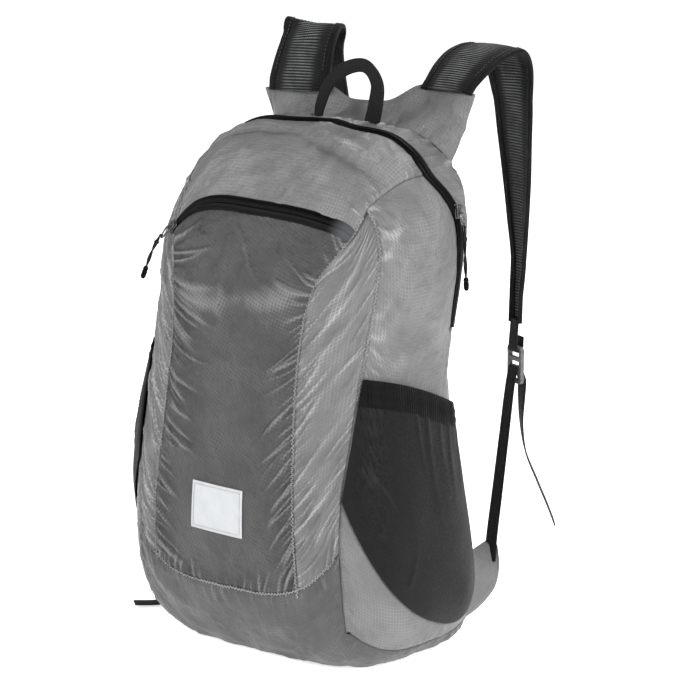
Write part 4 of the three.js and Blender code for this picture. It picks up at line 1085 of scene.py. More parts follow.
def cloth_mesh(name, chart, place, kind, seed, turned=False, calm=None):
    """A panel of the body's cloth, with its puckers, folds and sewn edges."""
    pitch = CLOTH_PITCHES[kind]
    columns, rows = panel_grid(chart, place, pitch)

    def lay(s, t):
        wide, high = RUN_ON / (columns * pitch), RUN_ON / (rows * pitch)
        u, v = place(s + (2 * s - 1) * wide, t + (2 * t - 1) * high)
        points, out = chart(u, v), outward(chart, u, v)
        x, y = lay_flat(points)
        lift, crest = wrinkles(kind, x, y, seed, turned)
        quiet = 1.0 if calm is None else calm(u, v)
        points = points + out * (lift * quiet)[..., None]
        points[..., 2] = np.maximum(points[..., 2], FLOOR_CLEAR)
        return points, np.stack([x, y], -1), out, crest * quiet

    return grid_mesh(name, columns, rows, lay)


def sew_panel(name, chart, place, kind, seed, finish, slot, node, turned=False, calm=None):
    """A panel of the body's cloth with its thickness, in place."""
    mesh = cloth_mesh(name, chart, place, kind, seed, turned, calm)
    thicken(put(mesh, finish, slot, node), cloth_settings().thickness)


def tube_mesh(name, around, steps, place):
    """A closed band: place(angle, t) gives what grid_mesh takes."""

    def lay(s, t):
        return place(2 * np.pi * s, t)

    mesh = grid_mesh(name, around, steps, lay)
    bm = bmesh.new()
    bm.from_mesh(mesh)
    bmesh.ops.remove_doubles(bm, verts=bm.verts, dist=1e-6)
    open_edges = [e for e in bm.edges if e.is_boundary]
    bmesh.ops.holes_fill(bm, edges=open_edges, sides=0)
    bmesh.ops.recalc_face_normals(bm, faces=bm.faces)
    bm.to_mesh(mesh)
    bm.free()
    shade(mesh)
    return mesh


def squared(value, power):
    return np.sign(value) * np.abs(value) ** power


def band_mesh(name, rows, width, thickness, around, steps, edges=(-0.5, 0.5), cup=0.0, ribs=0):
    """Webbing, strap or binding: a flat rounded section along its rows, between two edges.

    The edges are shares of its width, -0.5 to 0.5, and its crest is 1 along its middle.
    """
    edge_of = edges if callable(edges) else lambda full: edges

    def lay(angle, t):
        middle, across, out, share = band_path(rows, t)
        full = width * share
        low, high = edge_of(full)
        cross, deep = squared(np.cos(angle), 0.35), squared(np.sin(angle), 0.45)
        place = mix(low, high, (cross + 1) / 2)
        rib = 1 + 0.14 * np.cos(cross * np.pi * ribs) if ribs else 1.0
        bow = cup * (1 - (2 * place) ** 2)
        points = middle + across * (place * full)[..., None]
        points = points + out * (deep * thickness / 2 * rib + bow)[..., None]
        run = run_of(middle[:, 0])[:, None] + 0 * angle
        outs = across * np.cos(angle)[..., None] + out * np.sin(angle)[..., None]
        return points, np.stack([place * full, run], -1), outs, 1 - smooth(0.15, 0.3, np.abs(place))

    return tube_mesh(name, around, steps, lay)


def frame_at(chart, u, v):
    u, v = np.float64(u), np.float64(v)
    out = outward(chart, u, v)
    along = unit(chart(u + NUDGE, v) - chart(u - NUDGE, v))
    across = unit(np.cross(out, along))
    return {"out": out, "along": along, "across": across, "point": chart(u, v)}


def matrix_of(x, y, z, origin):
    matrix = Matrix.Identity(4)
    for k, axis in enumerate((x, y, z, origin)):
        for r in range(3):
            matrix[r][k] = float(axis[r])
    return matrix


def mesh_of(bm, name):
    bmesh.ops.recalc_face_normals(bm, faces=bm.faces)
    mesh = bpy.data.meshes.new(name)
    bm.to_mesh(mesh)
    bm.free()
    shade(mesh)
    return mesh


def turn_round(bm, geom, steps):
    """A full turn about the upright axis, closed."""
    bmesh.ops.spin(
        bm, geom=geom, cent=(0, 0, 0), axis=(0, 0, 1), angle=2 * math.pi, steps=steps,
        use_merge=True, use_duplicate=False,
    )


def block(bm, size, matrix, taper=1.0, bevel=0.0004):
    """A bevelled block, narrower at its far end."""
    made = bmesh.ops.create_cube(bm, size=1.0)["verts"]
    for v in made:
        if v.co.y > 0:
            v.co.x *= taper
    bmesh.ops.scale(bm, vec=size, verts=made)
    edges = list({e for v in made for e in v.link_edges})
    cut = bmesh.ops.bevel(
        bm, geom=edges, offset=bevel, segments=3, profile=0.5, affect="EDGES", material=-1
    )
    verts = list({v for f in cut["faces"] for v in f.verts} | {v for v in made if v.is_valid})
    bmesh.ops.transform(bm, matrix=matrix, verts=verts)


def stitch(bm, start, end, out, radius):
    """One stitch: a small rounded thread from start to end."""
    way = end - start
    long = max(float(length_of(way)), 1e-6)
    y = way / long
    x = unit(np.cross(y, out))
    matrix = matrix_of(x * radius, y * long / 2, np.cross(x, y) * radius, (start + end) / 2)
    bmesh.ops.create_icosphere(bm, subdivisions=1, radius=1.0, matrix=matrix)


def straight_run(bm, points, outs, stitch_length, gap, radius):
    """Stitches along a line of points."""
    steps = run_of(points)
    place = gap
    while place + stitch_length < steps[-1]:
        ends = [at_distance(p, steps, points) for p in (place, place + stitch_length)]
        out = at_distance(place, steps, outs)
        stitch(bm, *ends, out, radius)
        place += stitch_length + gap


# Finishes


def add_node(tree, kind, values=(), **settings):
    made = tree.nodes.new(kind)
    for key, value in settings.items():
        setattr(made, key, value)
    for slot, value in values:
        if isinstance(value, bpy.types.NodeSocket):
            tree.links.new(value, made.inputs[slot])
        else:
            made.inputs[slot].default_value = value
    return made


def math_of(tree, operation, *values):
    node = add_node(tree, "ShaderNodeMath", list(enumerate(values)), operation=operation)
    return node.outputs[0]


def ramp(tree, value, low, high, start=0.0, end=1.0):
    slots = [("Value", value), ("From Min", low), ("From Max", high)]
    slots += [("To Min", start), ("To Max", end)]
    made = add_node(tree, "ShaderNodeMapRange", slots, interpolation_type="SMOOTHSTEP")
    return made.outputs["Result"]


def noise_of(tree, where, scale, detail=4.0, roughness=0.55):
    slots = [("Vector", where), ("Scale", scale), ("Detail", detail), ("Roughness", roughness)]
    return add_node(tree, "ShaderNodeTexNoise", slots).outputs["Fac"]


def mixed(tree, share, first, second):
    slots = [(0, share), (6, first), (7, second)]
    return add_node(tree, "ShaderNodeMix", slots, data_type="RGBA").outputs[2]


def waves_of(tree, value, spacing):
    """A wave of -1 to 1 that repeats with a spacing."""
    return math_of(tree, "SINE", math_of(tree, "MULTIPLY", value, 2 * math.pi / spacing))


def crest_of(tree):
    return add_node(tree, "ShaderNodeAttribute", attribute_name="crest").outputs["Fac"]


def patchy(tree, patches, color, dark, light, low=0.3, high=0.7):
    """A colour that runs from a darker to a lighter shade with the patches."""
    share = ramp(tree, patches, low, high)
    return mixed(tree, share, shade_of(color, dark), shade_of(color, light))


def new_finish(name, specular, sheen=0.0, metallic=0.0):
    material = bpy.data.materials.new(name)
    material.use_nodes = True
    shader = material.node_tree.nodes["Principled BSDF"]
    shader.inputs["Specular IOR Level"].default_value = specular
    shader.inputs["Sheen Weight"].default_value = sheen
    shader.inputs["Sheen Roughness"].default_value = 0.4
    shader.inputs["Metallic"].default_value = metallic
    return material, material.node_tree, shader


def connect(tree, shader, color, roughness, height, distance, strength=1.0):
    slots = [("Height", height), ("Distance", distance), ("Strength", strength)]
    bump = add_node(tree, "ShaderNodeBump", slots)
    tree.links.new(color, shader.inputs["Base Color"])
    tree.links.new(roughness, shader.inputs["Roughness"])
    tree.links.new(bump.outputs["Normal"], shader.inputs["Normal"])


def shade_of(color, factor):
    return (*(min(1.0, c * factor) for c in color[:3]), 1.0)


def cloth_coordinates(tree, turn=0.0):
    where = add_node(tree, "ShaderNodeTexCoord").outputs["UV"]
    slots = [("Vector", where), ("Rotation", (0, 0, math.radians(turn)))]
    placed = add_node(tree, "ShaderNodeMapping", slots).outputs["Vector"]
    apart = add_node(tree, "ShaderNodeSeparateXYZ", [("Vector", placed)])
    return placed, apart.outputs["X"], apart.outputs["Y"]


def line_mask(tree, value, pitch, width):
    """1 on lines that repeat with a pitch, 0 between them."""
    wave = math_of(tree, "PINGPONG", value, pitch / 2)
    return ramp(tree, wave, 0.0, width, 1.0, 0.0)


def ripstop_finish(name, color, pitch, turn, gloss, shine):
    """Thin nylon with a raised grid of thicker threads, a fine weave and small creases, with
    painted highlights on the creases' crests and the grid's threads, and painted shade in the
    creases' valleys.
    """
    material, tree, shader = new_finish(name, 0.45, sheen=0.02)
    where, x, y = cloth_coordinates(tree, turn)
    lines = [line_mask(tree, value, pitch, RIPSTOP_LINE) for value in (x, y)]
    grid = math_of(tree, "MAXIMUM", *lines)
    threads = [waves_of(tree, value, WEAVE_PITCH) for value in (x, y)]
    weave = math_of(tree, "MULTIPLY", *threads)
    patches = noise_of(tree, where, 20.0, 5.0, 0.6)
    rumple = noise_of(tree, where, 75.0, 7.0, 0.62)
    ridges = math_of(tree, "ABSOLUTE", math_of(tree, "SUBTRACT", rumple, 0.5))
    crest = crest_of(tree)
    lit = ramp(tree, patches, 0.42, 0.62)
    tone = patchy(tree, patches, color, 0.9, 1.12)
    # Painted highlight on the crests of the creases, and painted shade in their valleys.
    tone = mixed(tree, ramp(tree, crest, 0.12, 1.0, 0.0, 0.8), tone, shade_of(color, shine))
    tone = mixed(tree, ramp(tree, crest, -0.7, -0.02, 0.7, 0.0), tone, shade_of(color, 0.5))
    # The grid's threads are painted lighter, in random patches and most of all on the crests: a
    # painted sheen.
    grid_highlight = math_of(tree, "MULTIPLY_ADD", ramp(tree, crest, 0.1, 0.6), 0.75, 0.05)
    shown = math_of(tree, "MULTIPLY", grid, math_of(tree, "MULTIPLY_ADD", lit, 0.2, grid_highlight))
    highlighted_tone = mixed(tree, shown, tone, shade_of(color, shine * 1.25))
    dull = ramp(tree, patches, 0.25, 0.75, gloss + 0.1, gloss)
    rough = math_of(tree, "MULTIPLY_ADD", crest, -0.05, dull)
    height = math_of(tree, "MULTIPLY_ADD", grid, 0.35, math_of(tree, "MULTIPLY", weave, 0.1))
    height = math_of(tree, "MULTIPLY_ADD", ridges, -9.0, height)
    connect(tree, shader, highlighted_tone, rough, height, 0.0004, 0.9)
    return material


def knit_finish(name, color, pitch):
    """Black stretch mesh: small holes between fine knitted threads, with painted highlights on the
    crests of its creases.
    """
    material, tree, shader = new_finish(name, 0.2, sheen=0.03)
    where = cloth_coordinates(tree)[0]
    slots = [("Vector", where), ("Scale", 1 / pitch), ("Randomness", 0.8)]
    cells = add_node(tree, "ShaderNodeTexVoronoi", slots).outputs["Distance"]
    open_part = ramp(tree, cells, 0.55, 0.15)
    patches = noise_of(tree, where, 24.0)
    crest = crest_of(tree)
    tone = patchy(tree, patches, color, 0.8, 1.35)
    # Painted highlight on the crests of the mesh's creases.
    tone = mixed(tree, ramp(tree, crest, 0.15, 1.0, 0.0, 0.8), tone, shade_of(color, 4.0))
    tone = mixed(tree, math_of(tree, "MULTIPLY", open_part, 0.6), tone, shade_of(color, 0.45))
    rough = ramp(tree, patches, 0.2, 0.8, 0.5, 0.68)
    height = math_of(tree, "MULTIPLY_ADD", open_part, -1.0, math_of(tree, "MULTIPLY", patches, 0.5))
    connect(tree, shader, tone, rough, height, 0.0004)
    return material


def ribbed_finish(name, color, light):
    """The straps' air mesh: light ribs across a channel along its middle, over dark holes. The
    ribs' light colour there is partly their own and partly a painted highlight.
    """
    material, tree, shader = new_finish(name, 0.12, sheen=0.03)
    where, x, y = cloth_coordinates(tree)
    channel = crest_of(tree)
    ribs = line_mask(tree, y, 0.0027, 0.00095)
    loops = waves_of(tree, x, 0.0022)
    holes = ramp(tree, math_of(tree, "MULTIPLY", loops, ribs), 0.0, 0.8)
    patches = noise_of(tree, where, 55.0)
    # Along the middle, in random patches, the ribs take their light colour: partly their own
    # colour, partly a painted highlight.
    lighter_share = math_of(tree, "MULTIPLY", channel, ramp(tree, patches, 0.3, 0.6, 0.45, 1.0))
    tone = patchy(tree, patches, color, 0.85, 1.4)
    tone = mixed(tree, math_of(tree, "MULTIPLY", ribs, lighter_share), tone, light)
    tone = mixed(tree, math_of(tree, "MULTIPLY", holes, 0.45), tone, shade_of(color, 0.6))
    rough = ramp(tree, patches, 0.2, 0.8, 0.6, 0.76)
    height = math_of(tree, "MULTIPLY_ADD", ribs, 1.0, math_of(tree, "MULTIPLY", holes, -0.6))
    connect(tree, shader, tone, rough, height, 0.0007)
    return material


def webbing_finish(name, color, rib, pick, gloss=0.55):
    """Woven tape: ribs along it, crossed by fine picks."""
    material, tree, shader = new_finish(name, 0.14, sheen=0.03)
    where, x, y = cloth_coordinates(tree)
    half = math_of(tree, "FLOOR", math_of(tree, "DIVIDE", x, rib))
    shifted = math_of(tree, "MULTIPLY_ADD", half, pick / 2, y)
    picks = waves_of(tree, shifted, pick)
    cords = line_mask(tree, x, rib, rib * 0.5)
    patches = noise_of(tree, where, 60.0)
    lighter_share = math_of(tree, "MULTIPLY", math_of(tree, "MULTIPLY_ADD", picks, 0.5, 0.5), cords)
    tone = mixed(tree, lighter_share, shade_of(color, 0.6), shade_of(color, 1.5))
    rough = ramp(tree, patches, 0.2, 0.8, gloss, gloss + 0.15)
    height = math_of(tree, "MULTIPLY_ADD", picks, 0.4, cords)
    connect(tree, shader, tone, rough, height, 0.0003)
    return material


def tape_finish(name, color, shine):
    """Coated zip tape: nearly smooth, with a faint weave, a dull shine and a light end."""
    material, tree, shader = new_finish(name, 0.08)
    where, x, _ = cloth_coordinates(tree)
    picks = waves_of(tree, x, 0.0011)
    patches = noise_of(tree, where, 45.0)
    tone = patchy(tree, patches, color, 0.8, 1.35)
    tone = mixed(tree, ramp(tree, x, ZIP_SHINE, ZIP_SHINE + 0.02, 0.0, 0.8), tone, shine)
    rough = ramp(tree, patches, 0.2, 0.8, 0.3, 0.45)
    height = math_of(tree, "MULTIPLY_ADD", picks, 0.2, patches)
    connect(tree, shader, tone, rough, height, 0.0002)
    return material


def grain_finish(name, color, scale, gloss, metallic=0.0):
    """Moulded plastic or cast metal: fine grain and slight scuffs."""
    material, tree, shader = new_finish(name, 0.5, metallic=metallic)
    where = add_node(tree, "ShaderNodeTexCoord").outputs["Object"]
    grain = noise_of(tree, where, scale, 6.0)
    scuffs = noise_of(tree, where, scale / 8, 3.0)
    tone = patchy(tree, scuffs, color, 0.88, 1.16, 0.35, 0.65)
    rough = ramp(tree, grain, 0.3, 0.7, gloss, gloss + 0.15)
    connect(tree, shader, tone, rough, grain, 0.00006)
    return material


def satin_finish(name, color):
    """A woven label: satin threads across it."""
    material, tree, shader = new_finish(name, 0.5, sheen=0.2)
    where, _, y = cloth_coordinates(tree)
    threads = waves_of(tree, y, 0.0007)
    patches = noise_of(tree, where, 70.0)
    tone = patchy(tree, patches, color, 0.93, 1.04)
    rough = ramp(tree, patches, 0.2, 0.8, 0.45, 0.6)
    height = math_of(tree, "MULTIPLY_ADD", threads, 0.3, patches)
    connect(tree, shader, tone, rough, height, 0.00015)
    return material


def floor_finish(color):
    material, tree, shader = new_finish("floor_paint", 0.2)
    where = add_node(tree, "ShaderNodeTexCoord").outputs["Object"]
    grain = noise_of(tree, where, 90.0)
    tone = mixed(tree, grain, shade_of(color, 0.995), shade_of(color, 1.005))
    connect(tree, shader, tone, ramp(tree, grain, 0, 1, 0.75, 0.85), grain, 0.00005)
    shader.inputs["Emission Color"].default_value = (1, 1, 1, 1)
    shader.inputs["Emission Strength"].default_value = FLOOR_GLOW
    return material


# Settings


def color_setting(name, about, level, warmth=0.0):
    return bpy.props.FloatVectorProperty(
        name=name, description=about, default=linear(level, warmth), size=4, subtype="COLOR",
        min=0.0, max=1.0,
    )


class BackpackCloth(bpy.types.PropertyGroup):
    front: color_setting("Front", "Colour of the front pocket's cloth", 53)
    upper: color_setting("Upper", "Colour of the cloth over the front pocket", 102)
    side: color_setting("Sides", "Colour of the sides, the top and the yoke", 98)
    base: color_setting("Base", "Colour of the base's coated cloth", 69)
    grid_pitch: bpy.props.FloatProperty(
        name="Ripstop Pitch", description="Spacing of the thicker threads",
        default=0.0033, min=0.001, max=0.01, unit="LENGTH", precision=4,
    )
    gloss: bpy.props.FloatProperty(
        name="Roughness", description="Lowest roughness of the nylon",
        default=0.3, min=0.1, max=1.0, subtype="FACTOR",
    )
    thickness: bpy.props.FloatProperty(
        name="Cloth Thickness", description="Thickness of the cloth with its seam tape",
        default=0.0008, min=0.0002, max=0.003, unit="LENGTH", precision=4,
    )


class BackpackTrim(bpy.types.PropertyGroup):
    webbing: color_setting("Webbing", "Colour of webbing, handle and cords", 32, -0.03)
    binding: color_setting("Binding", "Colour of the tape that binds the straps", 20, -0.02)
    strap: color_setting("Strap Mesh", "Colour of the straps' air mesh", 28, -0.02)
    # Shown only along the straps' middle, where it stands partly for a painted highlight.
    strap_rib: color_setting("Strap Ribs", "Colour of the ribs in the straps' mesh", 128, -0.02)
    mesh: color_setting("Pocket Mesh", "Colour of the side pockets' stretch mesh", 17, -0.03)
    zips: color_setting("Zips", "Colour of the zips' coated tape", 8, -0.06)
    zip_end: color_setting("Zip End", "Colour where the pocket zip's tape shines", 84, -0.08)
    label: color_setting("Label", "Colour of the blank label", 188, -0.03)
    thread: color_setting("Thread", "Colour of the seams' zigzag thread", 160)
    dark_thread: color_setting("Dark Thread", "Colour of the thread on webbing and straps", 74)
    metal: color_setting("Metal", "Colour of sliders and pulls", 105)
    plastic: color_setting("Plastic", "Colour of the ladder locks", 92)


class BackpackStage(bpy.types.PropertyGroup):
    floor: color_setting("Floor", "Colour of the floor", 249)
    sky: bpy.props.FloatProperty(
        name="Room Light", description="Strength of the even light all round",
        default=0.28, min=0.0, max=5.0,
    )
    key: bpy.props.FloatProperty(
        name="Key Light", description="Power of the large lamp in front",
        default=102.0, min=0.0, max=500.0, unit="POWER",
    )
    lens: bpy.props.FloatProperty(
        name="Lens", description="Focal length of the camera on a 36 mm sensor",
        default=167.66, min=10.0, max=500.0, unit="CAMERA",
    )


def cloth_settings():
    return bpy.context.scene.backpack_cloth


def trim_settings():
    return bpy.context.scene.backpack_trim


def finish_of(name):
    """A finish by name, made the first time that it is asked for."""
    found = bpy.data.materials.get(name)
    if found:
        return found
    cloth, trim = cloth_settings(), trim_settings()
    pitch, gloss = cloth.grid_pitch, cloth.gloss
    makers = {
        # The last number of each ripstop is how much lighter it is painted on its creases' crests:
        # a painted highlight.
        "ripstop_front": lambda: ripstop_finish(name, cloth.front, pitch, 24, gloss, 4.4),
        "ripstop_upper": lambda: ripstop_finish(name, cloth.upper, pitch, 0, gloss, 2.4),
        "ripstop_side": lambda: ripstop_finish(name, cloth.side, pitch, 0, gloss, 2.2),
        "ripstop_base": lambda: ripstop_finish(name, cloth.base, pitch, 0, gloss + 0.05, 2.4),
        "pocket_knit": lambda: knit_finish(name, trim.mesh, 0.0014),
        "hem_knit": lambda: webbing_finish(name, trim.mesh, 0.0026, 0.0012, 0.6),
        "strap_ribs": lambda: ribbed_finish(name, trim.strap, trim.strap_rib),
        "binding_tape": lambda: webbing_finish(name, trim.binding, 0.004, 0.0011, 0.6),
        "woven_webbing": lambda: webbing_finish(name, trim.webbing, 0.0025, 0.0016),
        "zip_tape": lambda: tape_finish(name, trim.zips, trim.zip_end),
        "label_satin": lambda: satin_finish(name, trim.label),
        "zigzag_thread": lambda: webbing_finish(name, trim.thread, 0.0006, 0.0006),
        "dark_thread": lambda: webbing_finish(name, trim.dark_thread, 0.0006, 0.0006),
        "gunmetal": lambda: grain_finish(name, trim.metal, 900.0, 0.25, metallic=0.9),
        "buckle_plastic": lambda: grain_finish(name, trim.plastic, 1400.0, 0.42),
    }
    return makers[name]()


# Operators


class BackpackOperator:
    bl_options = {"REGISTER", "UNDO"}

    def execute(self, context):
        self.build()
        return {"FINISHED"}


class BACKPACK_OT_stage(BackpackOperator, bpy.types.Operator):
    """Camera at the photograph's angle, pale floor and soft studio light"""

    bl_idname = "backpack.stage"
    bl_label = "Stage"

    def build(self):
        scene, stage = bpy.context.scene, bpy.context.scene.backpack_stage
        scene.view_settings.view_transform = "Standard"
        data = bpy.data.cameras.new("camera")
        data.sensor_width, data.lens, data.clip_end = 36.0, stage.lens, 60.0
        camera = bpy.data.objects.new("camera", data)
        camera.matrix_world = matrix_of(*CAMERA)
        scene.collection.objects.link(camera)
        scene.camera = camera
        bm = bmesh.new()
        bmesh.ops.create_grid(bm, x_segments=2, y_segments=2, size=FLOOR_SIZE)
        floor = bpy.data.objects.new("floor", mesh_of(bm, "floor"))
        floor.data.materials.append(floor_finish(stage.floor))
        scene.collection.objects.link(floor)
        world = bpy.data.worlds.new("room")
        world.use_nodes = True
        world.node_tree.nodes["Background"].inputs["Color"].default_value = (1, 1, 1, 1)
        world.node_tree.nodes["Background"].inputs["Strength"].default_value = stage.sky
        scene.world = world
        for name, spot, size, share in LAMPS:
            lamp = bpy.data.lights.new(name, "AREA")
            lamp.size, lamp.energy = size, stage.key * share
            light = bpy.data.objects.new(name, lamp)
            way = Vector(LAMPS_AIM) - Vector(spot)
            aim = way.to_track_quat("-Z", "Y").to_matrix().to_4x4()
            light.matrix_world = Matrix.Translation(spot) @ aim
            scene.collection.objects.link(light)


def pull_frame(place, cord):
    """A pull lies in line with its cord and never leans into its slider."""
    along = unit(np.array(cord[1]) - np.array(cord[0]))
    along = unit(along + place["out"] * max(0.0, -float(along @ place["out"])))
    lift = SLIDER_LIFT + SLIDER_THICKNESS + PULL_PLAY + PULL_HALF
    middle = place["point"] + place["out"] * lift + along * PULL_DROP
    across = unit(np.cross(along, place["out"]))
    return across, along, np.cross(across, along), middle


def sliders():
    main = frame_at(arch, MAIN_SLIDER_AT, main_zip(MAIN_SLIDER_AT, 0))
    pocket = frame_at(meridian, POCKET_SLIDER_AT, pocket_zip(POCKET_SLIDER_AT, 0))
    return {"main": (main, MAIN_CORD), "pocket": (pocket, POCKET_CORD)}


def cord_end_mesh(name, cord):
    """The moulded end of a pull cord, turned on its axis."""
    end = np.array(cord[-1])
    along = unit(end - np.array(cord[-2]))
    side = unit(np.cross(along, np.array([0.0, 1.0, 0.0])))
    bm = bmesh.new()
    radius = CORD_END_DIAMETER / 2
    shape = ((0.0, 0.0), (0.62, 0.0), (0.8, 0.06), (1.0, 0.2), (0.88, 0.3), (0.88, 0.36))
    shape += ((1.0, 0.44), (0.94, 0.8), (0.72, 0.94), (0.42, 1.0), (0.0, 1.0))
    verts = [bm.verts.new((r * radius, 0, a * CORD_END_LENGTH)) for r, a in shape]
    edges = [bm.edges.new(pair) for pair in zip(verts, verts[1:])]
    turn_round(bm, verts + edges, 20)
    bmesh.ops.remove_doubles(bm, verts=bm.verts, dist=1e-6)
    seat = end + along * 0.0002
    matrix = matrix_of(side, np.cross(along, side), along, seat)
    bmesh.ops.transform(bm, matrix=matrix, verts=bm.verts)
    return mesh_of(bm, name)


class BACKPACK_OT_cords(BackpackOperator, bpy.types.Operator):
    """The two pull cords and their moulded ends"""

    bl_idname = "backpack.cords"
    bl_label = "Pull Cords"

    def build(self):
        for name, (_, cord) in sliders().items():
            end = put(cord_end_mesh(f"{name}_cord_tip", cord), "zip_tape", "zip",
                      f"{name}_zip_cord_end")
            line = curve_point(cord, np.linspace(0, 1, 25))
            piece = put(self.doubled(f"{name}_pull_cord", cord), "woven_webbing", "webbing",
                        f"{name}_zip_cord")

    def doubled(self, name, cord):
        """A thin cord that is laid double, loosely twisted, with a small knot in it."""

        def lay(angle, t):
            way = unit(tangent(cord, t))
            across = unit(np.cross(way, np.array([0.3, 1.0, 0.1])))
            aside = np.cross(way, across)
            twist = angle - CORD_TWIST * t
            radius = CORD_DIAMETER / 2 * (0.6 + 0.85 * np.cos(twist) ** 2)
            radius = radius + KNOT_HEIGHT * np.exp(-(((t - KNOT_AT) / KNOT_REACH) ** 2))
            out = across * np.cos(angle)[..., None] + aside * np.sin(angle)[..., None]
            points = curve_point(cord, t) + out * radius[..., None]
            return points, np.stack([angle * 0.001, t * 0.045], -1), out

        return tube_mesh(name, 24, 90, lay)


class BACKPACK_OT_zip_hardware(BackpackOperator, bpy.types.Operator):
    """Zip sliders and their metal pulls"""

    bl_idname = "backpack.zip_hardware"
    bl_label = "Sliders and Pulls"

    def build(self):
        for name, (place, cord) in sliders().items():
            x, y, z = place["across"], place["along"], place["out"]
            base = place["point"] + z * SLIDER_LIFT

            def at(along, lift):
                return matrix_of(x, y, z, base + y * along + z * lift)

            bm = bmesh.new()
            block(bm, (0.009, 0.013, 0.0013), at(0, 0.0007), 0.72)
            block(bm, (0.0088, 0.0125, 0.0012), at(0, 0.0028), 0.72)
            block(bm, (0.003, 0.0035, 0.0022), at(0.0035, 0.0017), 1.0, 0.0002)
            block(bm, (0.0022, 0.0075, 0.0009), at(-0.0005, 0.0039), 1.0, 0.0003)
            put(mesh_of(bm, f"{name}_slider_body"), "gunmetal", "metal", f"{name}_zip_slider")
            across, along, out, middle = pull_frame(place, cord)
            bm = bmesh.new()
            ring_of = bmesh.ops.create_circle(bm, segments=10, radius=PULL_WIRE)["verts"]
            aside = Matrix.Translation((PULL_SIZE[0] / 2 - PULL_INSET, 0, 0))
            turn = aside @ Matrix.Rotation(math.pi / 2, 4, "X")
            bmesh.ops.transform(bm, matrix=turn, verts=ring_of)
            turn_round(bm, ring_of + list(bm.edges), 32)
            bmesh.ops.scale(bm, vec=(1, PULL_SIZE[1] / PULL_SIZE[0], 1), verts=bm.verts)
            bmesh.ops.transform(bm, matrix=matrix_of(across, along, out, middle), verts=bm.verts)
            put(mesh_of(bm, f"{name}_pull_ring"), "gunmetal", "metal", f"{name}_zip_pull")


def calm_label(u, v):
    """Quiet cloth round the label."""
    away = [np.abs(at - spot) / reach for at, spot, reach in zip((u, v), LABEL_SPOT, LABEL_CALM)]
    far = np.maximum(*away)
    return 0.08 + 0.92 * smooth(0.75, 1.35, far)


def calm_pocket(u, v):
    """Quiet cloth behind a side pocket."""
    inside = smooth(1.0, 1.12, np.abs(u)) * (1 - smooth(2.85, 3.0, np.abs(u)))
    return 1 - 0.75 * inside * smooth(-0.98, -0.8, v) * (1 - smooth(0.0, 0.14, v))


class BACKPACK_OT_front(BackpackOperator, bpy.types.Operator):
    """The front pocket's cloth and the cloth over it"""

    bl_idname = "backpack.front"
    bl_label = "Front Cloth"

    def build(self):
        sew_panel("pocket_cloth", meridian, pocket_place, "pocket", 3,
                  "ripstop_front", "shell_front", "front_pocket_panel", calm=calm_label)
        sew_panel("upper_cloth", meridian, upper_place, "upper", 8,
                  "ripstop_upper", "shell_upper", "front_panel")


class BACKPACK_OT_sides(BackpackOperator, bpy.types.Operator):
    """The gores and side panels"""

    bl_idname = "backpack.sides"
    bl_label = "Side Cloth"

    def build(self):
        for word, side in SIDES:
            sew_panel(f"gore_cloth_{word}", ring, gore_place(side), "gore", 21 + side,
                      "ripstop_side", "shell_side", f"front_gore_{word}", side < 0)
            sew_panel(f"side_cloth_{word}", ring, side_place(side), "side", 31 + side,
                      "ripstop_side", "shell_side", f"side_panel_{word}", side < 0, calm_pocket)


class BACKPACK_OT_top_and_back(BackpackOperator, bpy.types.Operator):
    """The top gusset, the back panel and the base"""

    bl_idname = "backpack.top_and_back"
    bl_label = "Top, Back and Base"

    def build(self):
        sew_panel("gusset_cloth", arch, gusset_place, "gusset", 41,
                  "ripstop_side", "shell_side", "top_gusset")
        sew_panel("back_cloth", meridian, back_place, "back", 51,
                  "ripstop_side", "shell_side", "back_panel")
        sew_panel("base_cloth", meridian, base_place, "base", 61,
                  "ripstop_base", "shell_base", "base_panel")


class BACKPACK_OT_yoke(BackpackOperator, bpy.types.Operator):
    """The shoulder yoke"""

    bl_idname = "backpack.yoke"
    bl_label = "Yoke"

    def build(self):
        face = unit(np.array([0.0, 0.85, -0.5]))

        def lay(s, t):
            along = 2 * s - 1
            spread = np.where(along < 0, 0.22, 0.06) * np.abs(along) ** 3
            points = mix(yoke_foot(along * (1 + spread)), yoke_top(along), t[..., None])
            x, y = lay_flat(points)
            bow = np.sin(np.pi * t) * YOKE_BOW
            lift = 0.0012 * crumple(x, y, 71, 0.03)
            for k, at in enumerate(np.linspace(-0.1, 0.1, YOKE_GATHERS)):
                long = 0.02 + 0.012 * math.sin(k * 2.3)
                lift = lift + crease(x, y, (at, 0.0), math.radians(90 + 25 * math.sin(k * 1.7)),
                                     long, 0.003, 0.0017, 0.1)
            lift = lift * smooth(0, 0.004, y) * (1 - smooth(0.7, 0.95, t))
            points = points + face * (bow + lift)[..., None]
            points[..., 2] -= 0.006 * smooth(0.76, 1.0, -along) * smooth(0.6, 1.0, t)
            return points, np.stack([x, y], -1), face + 0 * points

        mesh = grid_mesh("yoke_cloth", 150, 30, lay)
        thicken(put(mesh, "ripstop_side", "shell_side", "shoulder_yoke"), YOKE_THICKNESS, 0.0)


